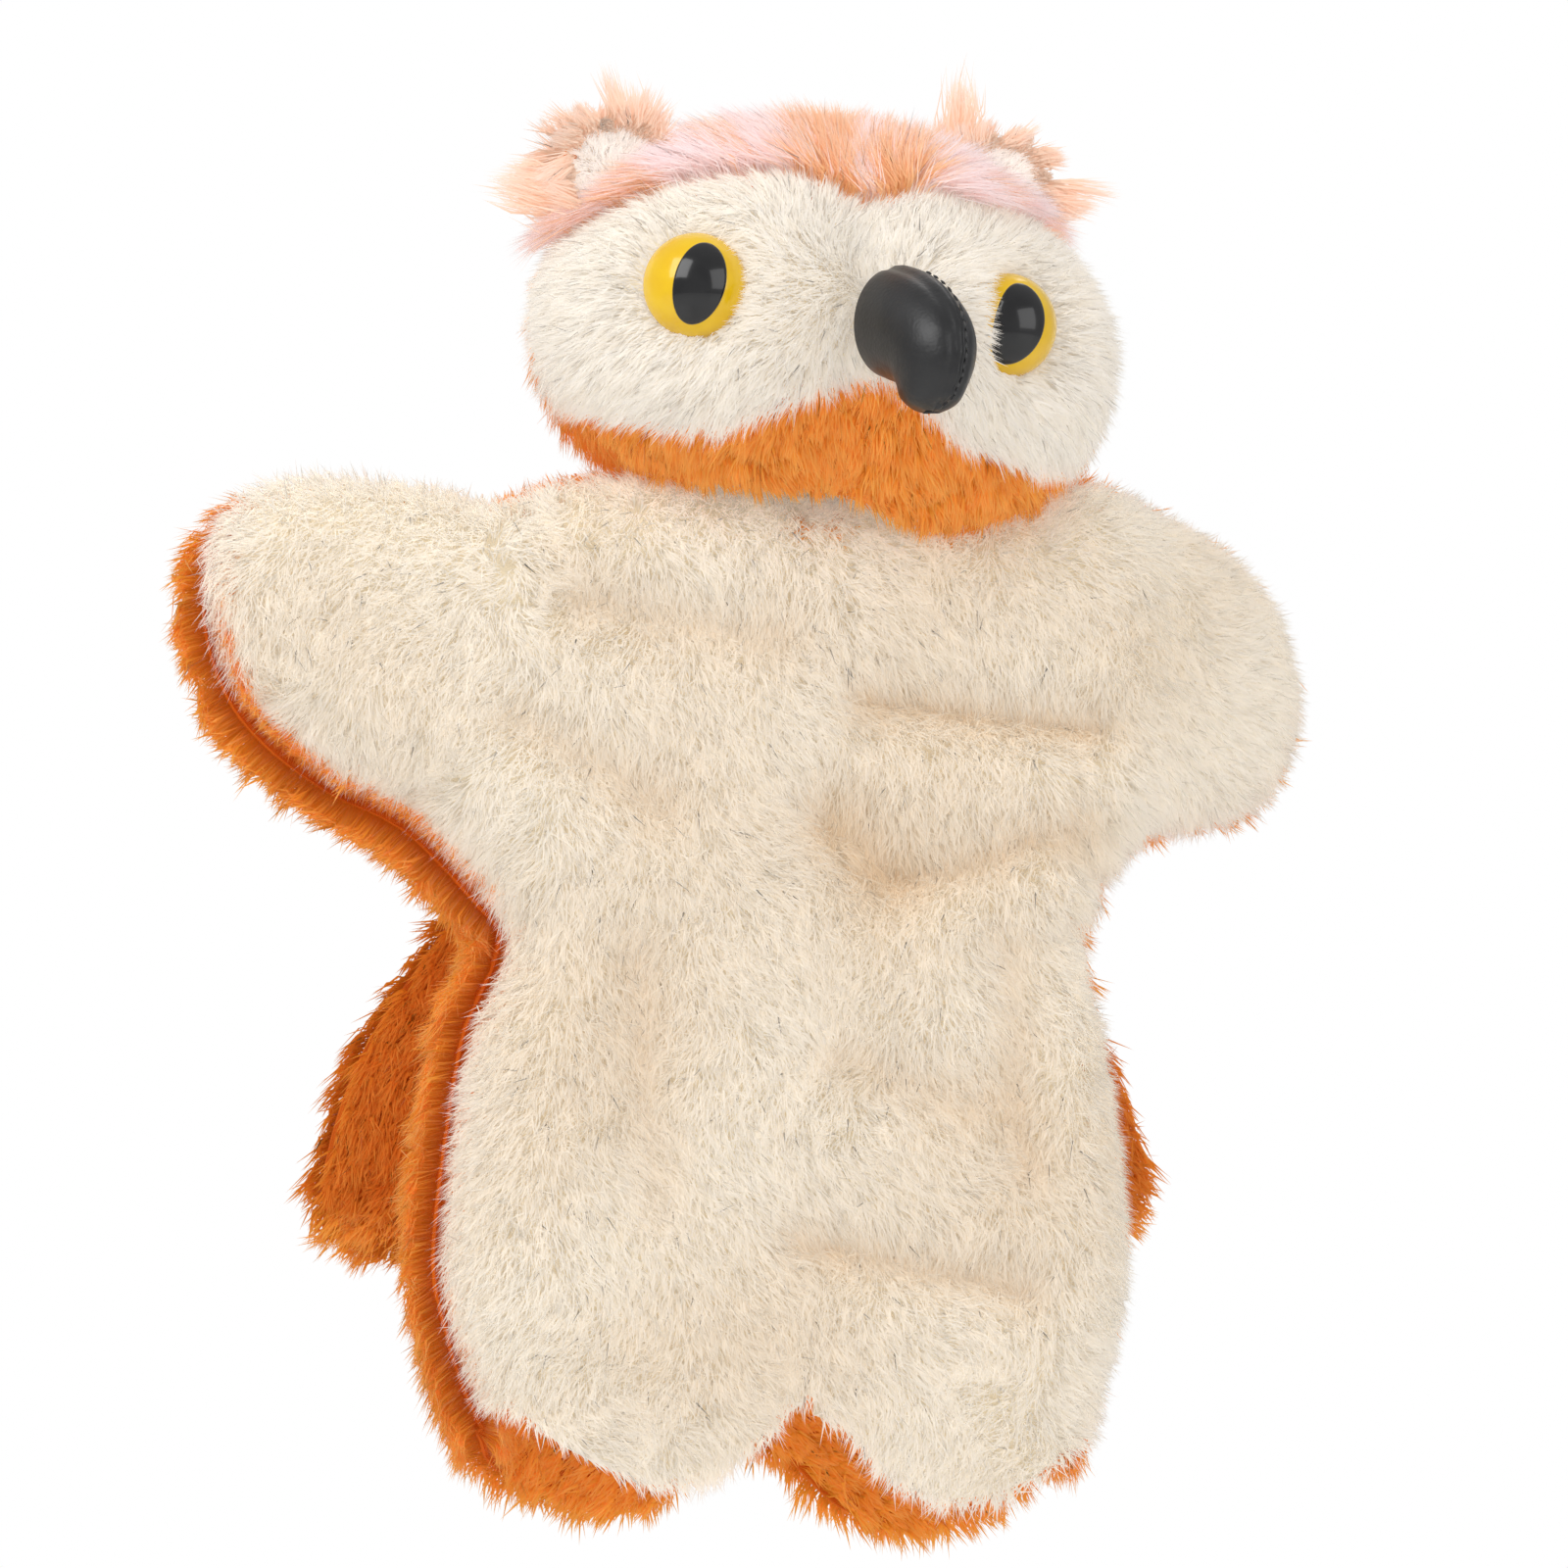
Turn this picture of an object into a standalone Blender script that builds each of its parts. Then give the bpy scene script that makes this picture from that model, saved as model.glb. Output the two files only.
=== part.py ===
"""Owl glove puppet: faux-fur body, wings, tail and stuffed head.

Metres, +Z up. The puppet stands as a hand holds it, facing -Y, with the hand opening at Z = 0.
Left and right are the puppet's own: its left wing is at +X.
"""
import math

import bmesh
import bpy
from mathutils import Matrix, Vector

MM = 0.001
GAP = 0.3 * MM

# Body
BODY_STATIONS = ((0, 66, 23), (45, 71, 25), (95, 67, 26), (128, 62, 26), (180, 62, 25), (196, 47, 24))
BODY_SQUARENESS = 2.7
BODY_WALL = 9 * MM
SEAM_Y = -8 * MM
LEG_RISE = 24 * MM
HEM_LEVEL = 7 * MM
LEG_CENTRE = 36 * MM
LEG_HALF_WIDTH = 36 * MM
BACK_DROP = 6 * MM
ARMHOLE_HEIGHT = 34 * MM
ARMHOLE_DEPTH = 20 * MM

# Wings: outward distance, half height, half depth
WING_STATIONS = ((0, 37, 24), (16, 35, 23), (34, 31, 21), (48, 25, 17), (57, 16, 12), (62, 5, 4))
WING_ROOT_X = 62 * MM
WING_ROOT_Z = 174 * MM
WING_CAVITY = 0.72
RIGHT_WING_LIFT = math.radians(17)
LEFT_WING_LIFT = math.radians(-7)
RIGHT_WING_SWEEP = math.radians(3)
LEFT_WING_SWEEP = math.radians(25)

# Tail: height above the opening, half width
TAIL_STATIONS = ((57, 74), (61, 87), (72, 90), (96, 82), (118, 67), (137, 54))
TAIL_FACE = 5 * MM
TAIL_WADDING = 2.4 * MM
TAIL_Y = 28 * MM
TAIL_CROWN = 3 * MM

# Head
HEAD_CENTRE = Vector((3, -10, 243)) * MM
HEAD_HALF = Vector((60, 37, 42)) * MM
HEAD_ROLL = math.radians(6.5)
HEAD_POWER = 0.86
HEAD_WALL = 9 * MM
STUFFING_SLACK = 1.0 * MM
FACE_TOP = 46
FACE_BOTTOM = -24
HEAD_BOTTOM = -52
SIDE_LON = 86

# Neck and finger
NECK = Vector((0, -3, 205)) * MM
NECK_SLEEVE = (9.2 * MM, 10.4 * MM, 14 * MM)
FINGER_TUBE = (9.2 * MM, 10.4 * MM, 44 * MM)

# Eyes
EYE_X = 33 * MM
EYE_Z = 4.5 * MM
EYE_YAW = math.radians(12)
EYE_RADIUS = 10.5 * MM
EYE_RISE = 8.5 * MM
EYE_SUNK = 5.5 * MM
PUPIL_HALF = (5.2 * MM, 8.6 * MM)
PUPIL_LEAN = math.radians(8)

# Beak: forward, up, half height, half width, turn of the section
BEAK_STATIONS = (
    (0, 0, 12.5, 10, 0), (6, 0.5, 12.2, 9.8, 8), (11.5, -1.5, 11, 8.8, 28),
    (15.5, -5.5, 9, 7.2, 50), (17.5, -10.5, 6.6, 5.4, 72), (17.5, -15, 3.2, 3, 88),
)
BEAK_PLACE = Vector((3.5, 0, -3)) * MM
BEAK_YAW = math.radians(16)
BEAK_SKIN = 1.2 * MM
BEAK_LATITUDE = -4
BEAK_STAND_OFF = 2.6 * MM

# Ears
HEAD_SLOPES = {-1: 0.34, 1: 0.12}
EAR_BASES = {-1: Vector((-42, 2, 30.4)) * MM, 1: Vector((39, 2, 35.6)) * MM}
EAR_HALF_WIDTH = 13 * MM
EAR_HEIGHT = 18 * MM
EAR_FACE = 4 * MM
EAR_SPLAY = math.radians(38)

CREAM = ((0.90, 0.84, 0.72), 0.9, 0.0)
ORANGE = ((0.84, 0.27, 0.03), 0.9, 0.0)
FROSTED = ((0.90, 0.66, 0.52), 0.9, 0.0)
WHITE_FUR = ((0.92, 0.87, 0.82), 0.9, 0.0)
WADDING = ((0.88, 0.88, 0.86), 1.0, 0.0)
LINING = ((0.75, 0.70, 0.60), 0.9, 0.0)
YELLOW = ((0.92, 0.62, 0.02), 0.15, 0.0)
BLACK = ((0.01, 0.01, 0.012), 0.08, 0.0)
WASHER = ((0.80, 0.80, 0.78), 0.4, 0.0)
LEATHERETTE = ((0.035, 0.035, 0.04), 0.42, 0.0)
THREAD = ((0.05, 0.05, 0.055), 0.7, 0.0)


def make_object(name, body, look):
    """Turn a bmesh into a named, closed, outward-facing object with its own material."""
    bmesh.ops.remove_doubles(body, verts=body.verts, dist=1e-6)
    bmesh.ops.dissolve_degenerate(body, edges=body.edges, dist=1e-6)
    bmesh.ops.recalc_face_normals(body, faces=body.faces)
    mesh = bpy.data.meshes.new(name)
    body.to_mesh(mesh)
    body.free()
    mesh.shade_smooth()
    mesh.set_sharp_from_angle(angle=math.radians(50))
    piece = bpy.data.objects.new(name, mesh)
    bpy.context.scene.collection.objects.link(piece)
    colour, roughness, metallic = look
    material = bpy.data.materials.new(name)
    material.use_nodes = True
    shader = material.node_tree.nodes["Principled BSDF"]
    shader.inputs["Base Color"].default_value = (*colour, 1.0)
    shader.inputs["Roughness"].default_value = roughness
    shader.inputs["Metallic"].default_value = metallic
    mesh.materials.append(material)
    return piece


def shell(name, outer, inner, look):
    """Close two matching grids of points into one solid."""
    body = bmesh.new()
    rows, columns = len(outer), len(outer[0])
    layers = [[[body.verts.new(p) for p in row] for row in grid] for grid in (outer, inner)]
    front, back = layers
    for i in range(rows - 1):
        for j in range(columns - 1):
            body.faces.new((front[i][j], front[i][j + 1], front[i + 1][j + 1], front[i + 1][j]))
            body.faces.new((back[i][j], back[i + 1][j], back[i + 1][j + 1], back[i][j + 1]))
    rim = [(i, 0) for i in range(rows)]
    rim += [(rows - 1, j) for j in range(1, columns)]
    rim += [(i, columns - 1) for i in range(rows - 2, -1, -1)]
    rim += [(0, j) for j in range(columns - 2, 0, -1)]
    for (i, j), (k, m) in zip(rim, rim[1:] + rim[:1]):
        body.faces.new((front[i][j], front[k][m], back[k][m], back[i][j]))
    return make_object(name, body, look)


def turned(name, profile, place, look, sides=20):
    """Spin a closed profile of (radius, height) points round the local Z axis."""
    body = bmesh.new()
    rings = []
    for k in range(sides):
        angle = 2 * math.pi * k / sides
        ring = [place @ Vector((r * math.cos(angle), r * math.sin(angle), h)) for r, h in profile]
        rings.append([body.verts.new(p) for p in ring])
    for k, ring in enumerate(rings):
        following = rings[(k + 1) % sides]
        for m in range(len(profile)):
            n = (m + 1) % len(profile)
            if profile[m][0] + profile[n][0] > 0:
                body.faces.new((ring[m], following[m], following[n], ring[n]))
    return make_object(name, body, look)


def smooth_stations(stations, count):
    """Read a table of stations at evenly spaced places, joined by smooth curves."""
    last = len(stations) - 1
    rows = []
    for k in range(count + 1):
        place = last * k / count
        i = min(int(place), last - 1)
        t = place - i
        four = [stations[min(max(n, 0), last)] for n in (i - 1, i, i + 1, i + 2)]
        rows.append([catmull(a, b, c, d, t) for a, b, c, d in zip(*four)])
    return rows


def catmull(a, b, c, d, t):
    """Catmull-Rom curve between b and c, kept between the two."""
    value = 0.5 * (2 * b + (c - a) * t + (2 * a - 5 * b + 4 * c - d) * t ** 2
                   + (3 * b - a - 3 * c + d) * t ** 3)
    low, high = min(b, c), max(b, c)
    return min(max(value, low), high)


def power(value, exponent):
    return math.copysign(abs(value) ** exponent, value)


def section_point(half_width, half_depth, angle):
    """Point on a squarish oval: angle 0 is +X and 90 degrees is the front, -Y."""
    exponent = 2 / BODY_SQUARENESS
    return (half_width * power(math.cos(angle), exponent),
            -half_depth * power(math.sin(angle), exponent))


def seam_angle(half_depth, seam_y):
    """Angle at which the squarish oval crosses the seam."""
    share = min(abs(seam_y) / half_depth, 0.95)
    return math.asin(share ** (BODY_SQUARENESS / 2))


def arc_angles(half_depth, facing_front, count):
    """Angles of one panel, from its +X seam to its -X seam, stopping half a gap short."""
    start = seam_angle(half_depth, SEAM_Y)
    slack = GAP / half_depth
    if facing_front:
        low, high = start + slack, math.pi - start - slack
    else:
        low, high = start - slack, -math.pi - start + slack
    return [low + (high - low) * j / count for j in range(count + 1)]


def hem_height(x, drop):
    """Lower edge of a body panel: two round leg lobes with a notch between them."""
    across = min(abs(abs(x) - LEG_CENTRE) / LEG_HALF_WIDTH, 1.0)
    return HEM_LEVEL + LEG_RISE * (1 - math.sqrt(1 - across ** 2)) - drop


def body_width(z):
    """Half width and half depth of the body at a height."""
    for (z0, w0, d0), (z1, w1, d1) in zip(BODY_STATIONS, BODY_STATIONS[1:]):
        if z <= z1 * MM:
            t = min(max((z - z0 * MM) / ((z1 - z0) * MM), 0.0), 1.0)
            return (w0 + (w1 - w0) * t) * MM, (d0 + (d1 - d0) * t) * MM
    return BODY_STATIONS[-1][1] * MM, BODY_STATIONS[-1][2] * MM


def body_panel(name, facing_front, look):
    """Front or back of the body, one curved wall with two leg lobes."""
    rows, columns = 18, 20
    top = BODY_STATIONS[-1][0] * MM
    drop = 0.0 if facing_front else BACK_DROP
    grids = []
    for inset in (0.0, BODY_WALL):
        grid = []
        for i in range(rows + 1):
            row = []
            for j in range(columns + 1):
                x, y, z = 0.0, 0.0, 0.0
                for _ in range(3):
                    z_low = hem_height(x, drop)
                    z = z_low + (top - z_low) * i / rows
                    width, depth = body_width(z)
                    angle = arc_angles(depth, facing_front, columns)[j]
                    x, y = section_point(width - inset, depth - inset, angle)
                row.append(Vector((x, y, z)))
            grid.append(row)
        grids.append(grid)
    return shell(name, grids[0], grids[1], look)


def wing_grid(side, lift, sweep, facing_front, inner):
    """Points of one wing face: the sleeve inside it is open at the shoulder."""
    rows, columns = 10, 10
    grid = []
    for row_number, (out, height, depth) in enumerate(smooth_stations(WING_STATIONS, rows)):
        if inner:
            out *= 0.84
            taper = math.sqrt(1 - (row_number / (rows + 1)) ** 4)
            height, depth = height * WING_CAVITY * taper, (depth - 9.5) * taper
            depth = max(depth, 2.0)
        x = WING_ROOT_X + GAP + out * MM * math.cos(sweep)
        y_centre = out * MM * math.sin(sweep)
        z_centre = WING_ROOT_Z + out * MM * math.tan(lift)
        row = []
        for j in range(columns + 1):
            start = GAP / (max(depth, 4) * MM)
            angle = start + (math.pi - 2 * start) * j / columns
            across, along = section_point(height * MM, depth * MM, angle)
            sign = 1 if facing_front else -1
            row.append(Vector((side * x, y_centre + sign * along, z_centre + across)))
        grid.append(row)
    return grid


def wing(side, side_name, lift, sweep):
    """Cream front and orange back of one wing."""
    pieces = []
    for facing_front, face_name, look in ((True, "front", CREAM), (False, "back", ORANGE)):
        outer = wing_grid(side, lift, sweep, facing_front, False)
        inner = wing_grid(side, lift, sweep, facing_front, True)
        pieces.append(shell(f"{side_name}_wing_{face_name}", outer, inner, look))
    return pieces


def tail_sheet(name, near, far, margin, look):
    """One layer of the fan-shaped tail between two distances behind the body."""
    rows, columns = 8, 10
    grids = []
    for y in (near, far):
        grid = []
        for height, half_width in smooth_stations(TAIL_STATIONS, rows):
            centre_z = height * MM
            row = []
            for j in range(columns + 1):
                across = 2 * j / columns - 1
                x = (half_width * MM - margin) * across
                low_share = 1 - (height - TAIL_STATIONS[0][0]) / 80
                z = centre_z + TAIL_CROWN * across ** 2 * low_share + margin * low_share
                row.append(Vector((x, y, z)))
            grid.append(row)
        grids.append(grid)
    return shell(name, grids[0], grids[1], look)


def tail():
    """Two fur faces with a thin wadding between them."""
    inner_far = TAIL_Y + TAIL_FACE
    wadding_near = inner_far + GAP
    wadding_far = wadding_near + TAIL_WADDING
    outer_near = wadding_far + GAP
    return [
        tail_sheet("tail_inner_panel", TAIL_Y, inner_far, 0.0, ORANGE),
        tail_sheet("tail_wadding", wadding_near, wadding_far, 4 * MM, WADDING),
        tail_sheet("tail_outer_panel", outer_near, outer_near + TAIL_FACE, 0.0, ORANGE),
    ]


def head_frame():
    """The head's own axes in the world."""
    return Matrix.Translation(HEAD_CENTRE) @ Matrix.Rotation(HEAD_ROLL, 4, "Y")


def head_slope(share):
    """How far the top of the head has sunk, beside its middle: more on its right side."""
    side = -1 if share < 0 else 1
    return 1 - HEAD_SLOPES[side] * share ** 2


def head_point(lon, lat, inset):
    """Point of the head at a longitude (0 is the front) and latitude in degrees."""
    lon, lat = math.radians(lon), math.radians(lat)
    ring = power(math.cos(lat), HEAD_POWER)
    share = ring * power(math.sin(lon), HEAD_POWER)
    slope = head_slope(share) if lat > 0 else 1
    return head_frame() @ Vector((
        (HEAD_HALF.x - inset) * share,
        -(HEAD_HALF.y - inset) * ring * power(math.cos(lon), HEAD_POWER),
        (HEAD_HALF.z - inset) * power(math.sin(lat), HEAD_POWER) * slope,
    ))


def head_patch(name, lons, lats, look):
    """A piece of the head's fur skin, cut short by half a gap on every side."""
    rows, columns = 9, 12
    slack = math.degrees(GAP / HEAD_HALF.z) * 1.5
    lon0, lon1 = lons[0] + slack, lons[1] - slack
    lat0 = lats[0] + slack
    lat1 = lats[1] - (slack if lats[1] < 90 else 0)
    grids = []
    for inset in (0.0, HEAD_WALL):
        grids.append([[head_point(lon0 + (lon1 - lon0) * j / columns,
                                  lat0 + (lat1 - lat0) * i / rows, inset)
                       for j in range(columns + 1)] for i in range(rows + 1)])
    return shell(name, grids[0], grids[1], look)


def head_stuffing():
    """Soft core of the head, with the finger's hole bored from below."""
    body = bmesh.new()
    rows, columns = 12, 24
    inset = HEAD_WALL + STUFFING_SLACK
    grid = []
    for i in range(rows + 1):
        lat = -50 + (90 + 50) * i / rows
        grid.append([body.verts.new(head_point(360 * j / columns, lat, inset)) for j in range(columns)])
    for i in range(rows):
        for j in range(columns):
            n = (j + 1) % columns
            body.faces.new((grid[i][j], grid[i][n], grid[i + 1][n], grid[i + 1][j]))
    body.faces.new(grid[0][::-1])
    return make_object("head_stuffing", body, WADDING)


def finger_hole_place():
    """Axis of the finger's hole, in line with the head's own upright axis."""
    return Matrix.Translation(NECK) @ Matrix.Rotation(HEAD_ROLL, 4, "Y")


def finger_tube():
    """Cloth finger stall sewn into the head, open below and closed above."""
    inner, outer, length = FINGER_TUBE
    low = 9 * MM
    profile = [(0, low + length), (outer, low + length), (outer, low),
               (inner, low), (inner, low + length - 1.4 * MM), (0, low + length - 1.4 * MM)]
    return turned("finger_tube", profile, finger_hole_place(), LINING)


def neck_sleeve():
    """Short cloth sleeve between the body and the head."""
    inner, outer, length = NECK_SLEEVE
    place = Matrix.Translation(NECK)
    low, high = -0.6 * length, 0.4 * length
    profile = [(outer, low), (outer, high), (inner, high), (inner, low)]
    return turned("neck_sleeve", profile, place, LINING)


def eye_place(side):
    """Eye axes: local Z points out of the face, local Y up."""
    share = 1 - (EYE_X / HEAD_HALF.x) ** (2 / HEAD_POWER) - (EYE_Z / HEAD_HALF.z) ** (2 / HEAD_POWER)
    depth = HEAD_HALF.y * share ** (HEAD_POWER / 2)
    turn = Matrix.Rotation(side * EYE_YAW, 4, "Z") @ Matrix.Rotation(math.radians(90), 4, "X")
    return head_frame() @ Matrix.Translation((side * EYE_X, -depth, EYE_Z)) @ turn


def dome_radius():
    """Radius of the sphere that the eye's dome is cut from."""
    return (EYE_RADIUS ** 2 + EYE_RISE ** 2) / (2 * EYE_RISE)


def eye_dome(side, side_name):
    """Moulded dome with a stem behind it."""
    sphere = dome_radius()
    span = math.asin(EYE_RADIUS / sphere)
    if EYE_RISE > sphere:
        span = math.pi - span
    top = -EYE_SUNK + EYE_RISE
    profile = [(sphere * math.sin(span * k / 8), top - sphere + sphere * math.cos(span * k / 8))
               for k in range(9)]
    base = -EYE_SUNK - 0.8 * MM
    profile += [(EYE_RADIUS, base), (2.2 * MM, base), (2.2 * MM, base - 7 * MM), (0, base - 7 * MM)]
    return turned(f"{side_name}_eye_dome", profile, eye_place(side), YELLOW)


def eye_pupil(side, side_name):
    """Upright oval pupil lying on the dome."""
    sphere = dome_radius()
    centre = -EYE_SUNK + EYE_RISE - sphere
    lean = Matrix.Rotation(-PUPIL_LEAN, 4, "Z")
    place = eye_place(side) @ lean
    count = 8
    grids = []
    for radius in (sphere + 0.9 * MM, sphere + GAP):
        grid = []
        for i in range(count + 1):
            v = 2 * i / count - 1
            row = []
            for j in range(count + 1):
                u = 2 * j / count - 1
                x = PUPIL_HALF[0] * u * math.sqrt(1 - v * v / 2)
                y = PUPIL_HALF[1] * v * math.sqrt(1 - u * u / 2)
                z = centre + math.sqrt(radius ** 2 - x * x - y * y)
                row.append(place @ Vector((x, y, z)))
            grid.append(row)
        grids.append(grid)
    return shell(f"{side_name}_eye_pupil", grids[0], grids[1], BLACK)


def eye_washer(side, side_name):
    """Push-on washer that locks the stem behind the cloth."""
    front = -EYE_SUNK - 4 * MM
    profile = [(2.5 * MM, front), (8.5 * MM, front), (8.5 * MM, front - 2 * MM), (2.5 * MM, front - 2 * MM)]
    return turned(f"{side_name}_eye_washer", profile, eye_place(side), WASHER)


def eye_cutter(side):
    """Pocket for the dome, hole for the stem and room for the washer."""
    seat = -EYE_SUNK - 0.8 * MM - GAP
    back = -EYE_SUNK - 16 * MM
    washer = -EYE_SUNK - 4 * MM + GAP
    profile = [(0, 16 * MM), (11 * MM, 16 * MM), (11 * MM, seat), (2.5 * MM, seat),
               (2.5 * MM, washer), (9 * MM, washer), (9 * MM, back), (0, back)]
    return turned(f"eye_cutter_{side}", profile, eye_place(side), WASHER)


def beak_place():
    """Beak axes: local X across, local -Y forward."""
    lon = math.degrees(math.asin(BEAK_PLACE.x / HEAD_HALF.x))
    root = head_frame().inverted() @ head_point(lon, BEAK_LATITUDE, 0)
    root.y -= BEAK_STAND_OFF
    return head_frame() @ Matrix.Translation(root) @ Matrix.Rotation(BEAK_YAW, 4, "Z")


def beak_point(station, angle, inset):
    """Point of one beak section: angle 90 degrees is the ridge, 0 the side."""
    forward, up, half_height, half_width, turn = station
    share = (half_height - inset) / half_height
    across = half_width * share * math.cos(angle)
    tall = half_height * share * math.sin(angle)
    turn = math.radians(turn)
    return beak_place() @ (Vector((across, -forward - tall * math.sin(turn),
                                   up + tall * math.cos(turn))) * MM)


def beak_skin(side, side_name):
    """One side of the leatherette beak."""
    rows, columns = 12, 8
    stations = smooth_stations(BEAK_STATIONS, rows)
    slack = 0.04
    grids = []
    for inset in (0.0, BEAK_SKIN / MM):
        grid = []
        for station in stations:
            low, high = -math.pi / 2 + slack, math.pi / 2 - slack
            angles = [low + (high - low) * j / columns for j in range(columns + 1)]
            if side < 0:
                angles = [math.pi - a for a in angles]
            grid.append([beak_point(station, a, inset) for a in angles])
        grids.append(grid)
    return shell(f"beak_{side_name}_skin", grids[0], grids[1], LEATHERETTE)


def beak_stuffing():
    """Wadding that fills the beak."""
    body = bmesh.new()
    columns = 20
    inset = (BEAK_SKIN + GAP) / MM
    rings = [[body.verts.new(beak_point(station, 2 * math.pi * j / columns, inset))
              for j in range(columns)] for station in smooth_stations(BEAK_STATIONS, 12)]
    for ring, following in zip(rings, rings[1:]):
        for j in range(columns):
            n = (j + 1) % columns
            body.faces.new((ring[j], ring[n], following[n], following[j]))
    body.faces.new(rings[0][::-1])
    body.faces.new(rings[-1])
    return make_object("beak_stuffing", body, WADDING)


def beak_stitching():
    """Running stitches along the ridge seam: one thread, fat at each stitch and thin between."""
    body = bmesh.new()
    sides = 5
    stations = smooth_stations(BEAK_STATIONS, 60)
    path = [beak_point(station, math.pi / 2, -0.85) for station in stations[10:57]]
    rings = []
    for k, (point, ahead) in enumerate(zip(path, path[1:])):
        turn = (ahead - point).to_track_quat("Z", "X")
        radius = (0.22 + 0.16 * (k % 6 in (2, 3, 4))) * MM
        rings.append([body.verts.new(point + turn @ Vector((radius * math.cos(2 * math.pi * j / sides),
                                                           radius * math.sin(2 * math.pi * j / sides), 0)))
                      for j in range(sides)])
    for ring, following in zip(rings, rings[1:]):
        for j in range(sides):
            n = (j + 1) % sides
            body.faces.new((ring[j], ring[n], following[n], following[j]))
    body.faces.new(rings[0][::-1])
    body.faces.new(rings[-1])
    return make_object("beak_stitching", body, THREAD)


def ear_place(side):
    """Ear axes: local X across the ear, local Z up along it, local -Y its front."""
    return head_frame() @ Matrix.Translation(EAR_BASES[side]) @ Matrix.Rotation(side * EAR_SPLAY, 4, "Y")


def ear_half(side, name, near, far, look):
    """One face of a round ear."""
    rows, columns = 8, 12
    grids = []
    for y in (near, far):
        grid = []
        for i in range(rows + 1):
            v = 0.97 * i / rows
            half_width = EAR_HALF_WIDTH * math.sqrt(1 - v ** 2.4)
            row = []
            for j in range(columns + 1):
                u = 2 * j / columns - 1
                row.append(ear_place(side) @ Vector((half_width * u, y, EAR_HEIGHT * v)))
            grid.append(row)
        grids.append(grid)
    return shell(name, grids[0], grids[1], look)


def ear(side, side_name):
    """White inner face and frosted back of one ear."""
    return [
        ear_half(side, f"{side_name}_ear_inner", -EAR_FACE, -GAP / 2, WHITE_FUR),
        ear_half(side, f"{side_name}_ear_back", GAP / 2, EAR_FACE, FROSTED),
    ]


def hide_cutter(piece):
    piece.hide_render = True
    piece.display_type = "WIRE"


def cut(piece, cutter):
    """Take a cutter's shape out of a piece with a Boolean modifier."""
    modifier = piece.modifiers.new(cutter.name, "BOOLEAN")
    modifier.operation = "DIFFERENCE"
    modifier.object = cutter


def armhole_cutter():
    """Bar across the shoulders that opens both side seams into the wings."""
    body = bmesh.new()
    size = Matrix.Diagonal((0.2, ARMHOLE_DEPTH, ARMHOLE_HEIGHT, 1))
    bmesh.ops.create_cube(body, size=1.0, matrix=Matrix.Translation((0, 0, WING_ROOT_Z - 6 * MM)) @ size)
    cutter = make_object("armhole_cutter", body, LINING)
    hide_cutter(cutter)
    return cutter


def finger_cutter():
    """Bore for the finger stall."""
    _, outer, length = FINGER_TUBE
    bore = outer + GAP
    top = 9 * MM + length + GAP
    profile = [(0, -0.03), (bore, -0.03), (bore, top), (0, top)]
    cutter = turned("finger_cutter", profile, finger_hole_place(), LINING)
    hide_cutter(cutter)
    return cutter


def pivot(name, place, pieces, parent=None):
    """Empty on a joint's axis that carries its pieces."""
    empty = bpy.data.objects.new(name, None)
    empty.empty_display_size = 0.02
    bpy.context.scene.collection.objects.link(empty)
    empty.location = place
    if parent is not None:
        empty.parent = parent
        empty.matrix_parent_inverse = Matrix.Translation(parent.location).inverted()
    for piece in pieces:
        piece.parent = empty
        piece.matrix_parent_inverse = Matrix.Translation(place).inverted()
    return empty


def build_body():
    """Body panels, wings and tail."""
    front = body_panel("front_body_panel", True, CREAM)
    back = body_panel("back_body_panel", False, ORANGE)
    cutter = armhole_cutter()
    for panel in (front, back):
        cut(panel, cutter)
    front_edge = -WING_STATIONS[0][2] * MM
    for side, side_name, lift, sweep in ((-1, "right", RIGHT_WING_LIFT, RIGHT_WING_SWEEP),
                                         (1, "left", LEFT_WING_LIFT, LEFT_WING_SWEEP)):
        pieces = wing(side, side_name, lift, sweep)
        pivot(f"{side_name}_wing_pivot", Vector((side * WING_ROOT_X, front_edge, WING_ROOT_Z)), pieces)
    pivot("tail_pivot", Vector((0, TAIL_Y, TAIL_STATIONS[-1][0] * MM)), tail())


def build_head():
    """Fur skin, stuffing, eyes, beak and ears of the head."""
    pieces = [
        head_patch("face_right_panel", (-SIDE_LON, 0), (FACE_BOTTOM, FACE_TOP), CREAM),
        head_patch("face_left_panel", (0, SIDE_LON), (FACE_BOTTOM, FACE_TOP), CREAM),
        head_patch("chin_right_panel", (-SIDE_LON, 0), (HEAD_BOTTOM, FACE_BOTTOM), ORANGE),
        head_patch("chin_left_panel", (0, SIDE_LON), (HEAD_BOTTOM, FACE_BOTTOM), ORANGE),
        head_patch("crown_panel", (-SIDE_LON, SIDE_LON), (FACE_TOP, 90), FROSTED),
        head_patch("head_back_panel", (SIDE_LON, 360 - SIDE_LON), (HEAD_BOTTOM, 90), ORANGE),
    ]
    stuffing = head_stuffing()
    pieces += [stuffing, finger_tube(), beak_skin(-1, "right"), beak_skin(1, "left"),
               beak_stuffing(), beak_stitching()]
    cut(stuffing, finger_cutter())
    for side, side_name, face in ((-1, "right", pieces[0]), (1, "left", pieces[1])):
        pieces += [eye_dome(side, side_name), eye_pupil(side, side_name), eye_washer(side, side_name)]
        cutter = eye_cutter(side)
        hide_cutter(cutter)
        cut(face, cutter)
        cut(stuffing, cutter)
    neck = pivot("neck_pivot", NECK, [neck_sleeve()])
    head = pivot("head_pivot", NECK, pieces, neck)
    for side, side_name in ((-1, "right"), (1, "left")):
        pivot(f"{side_name}_ear_pivot", ear_place(side).translation, ear(side, side_name), head)


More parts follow.
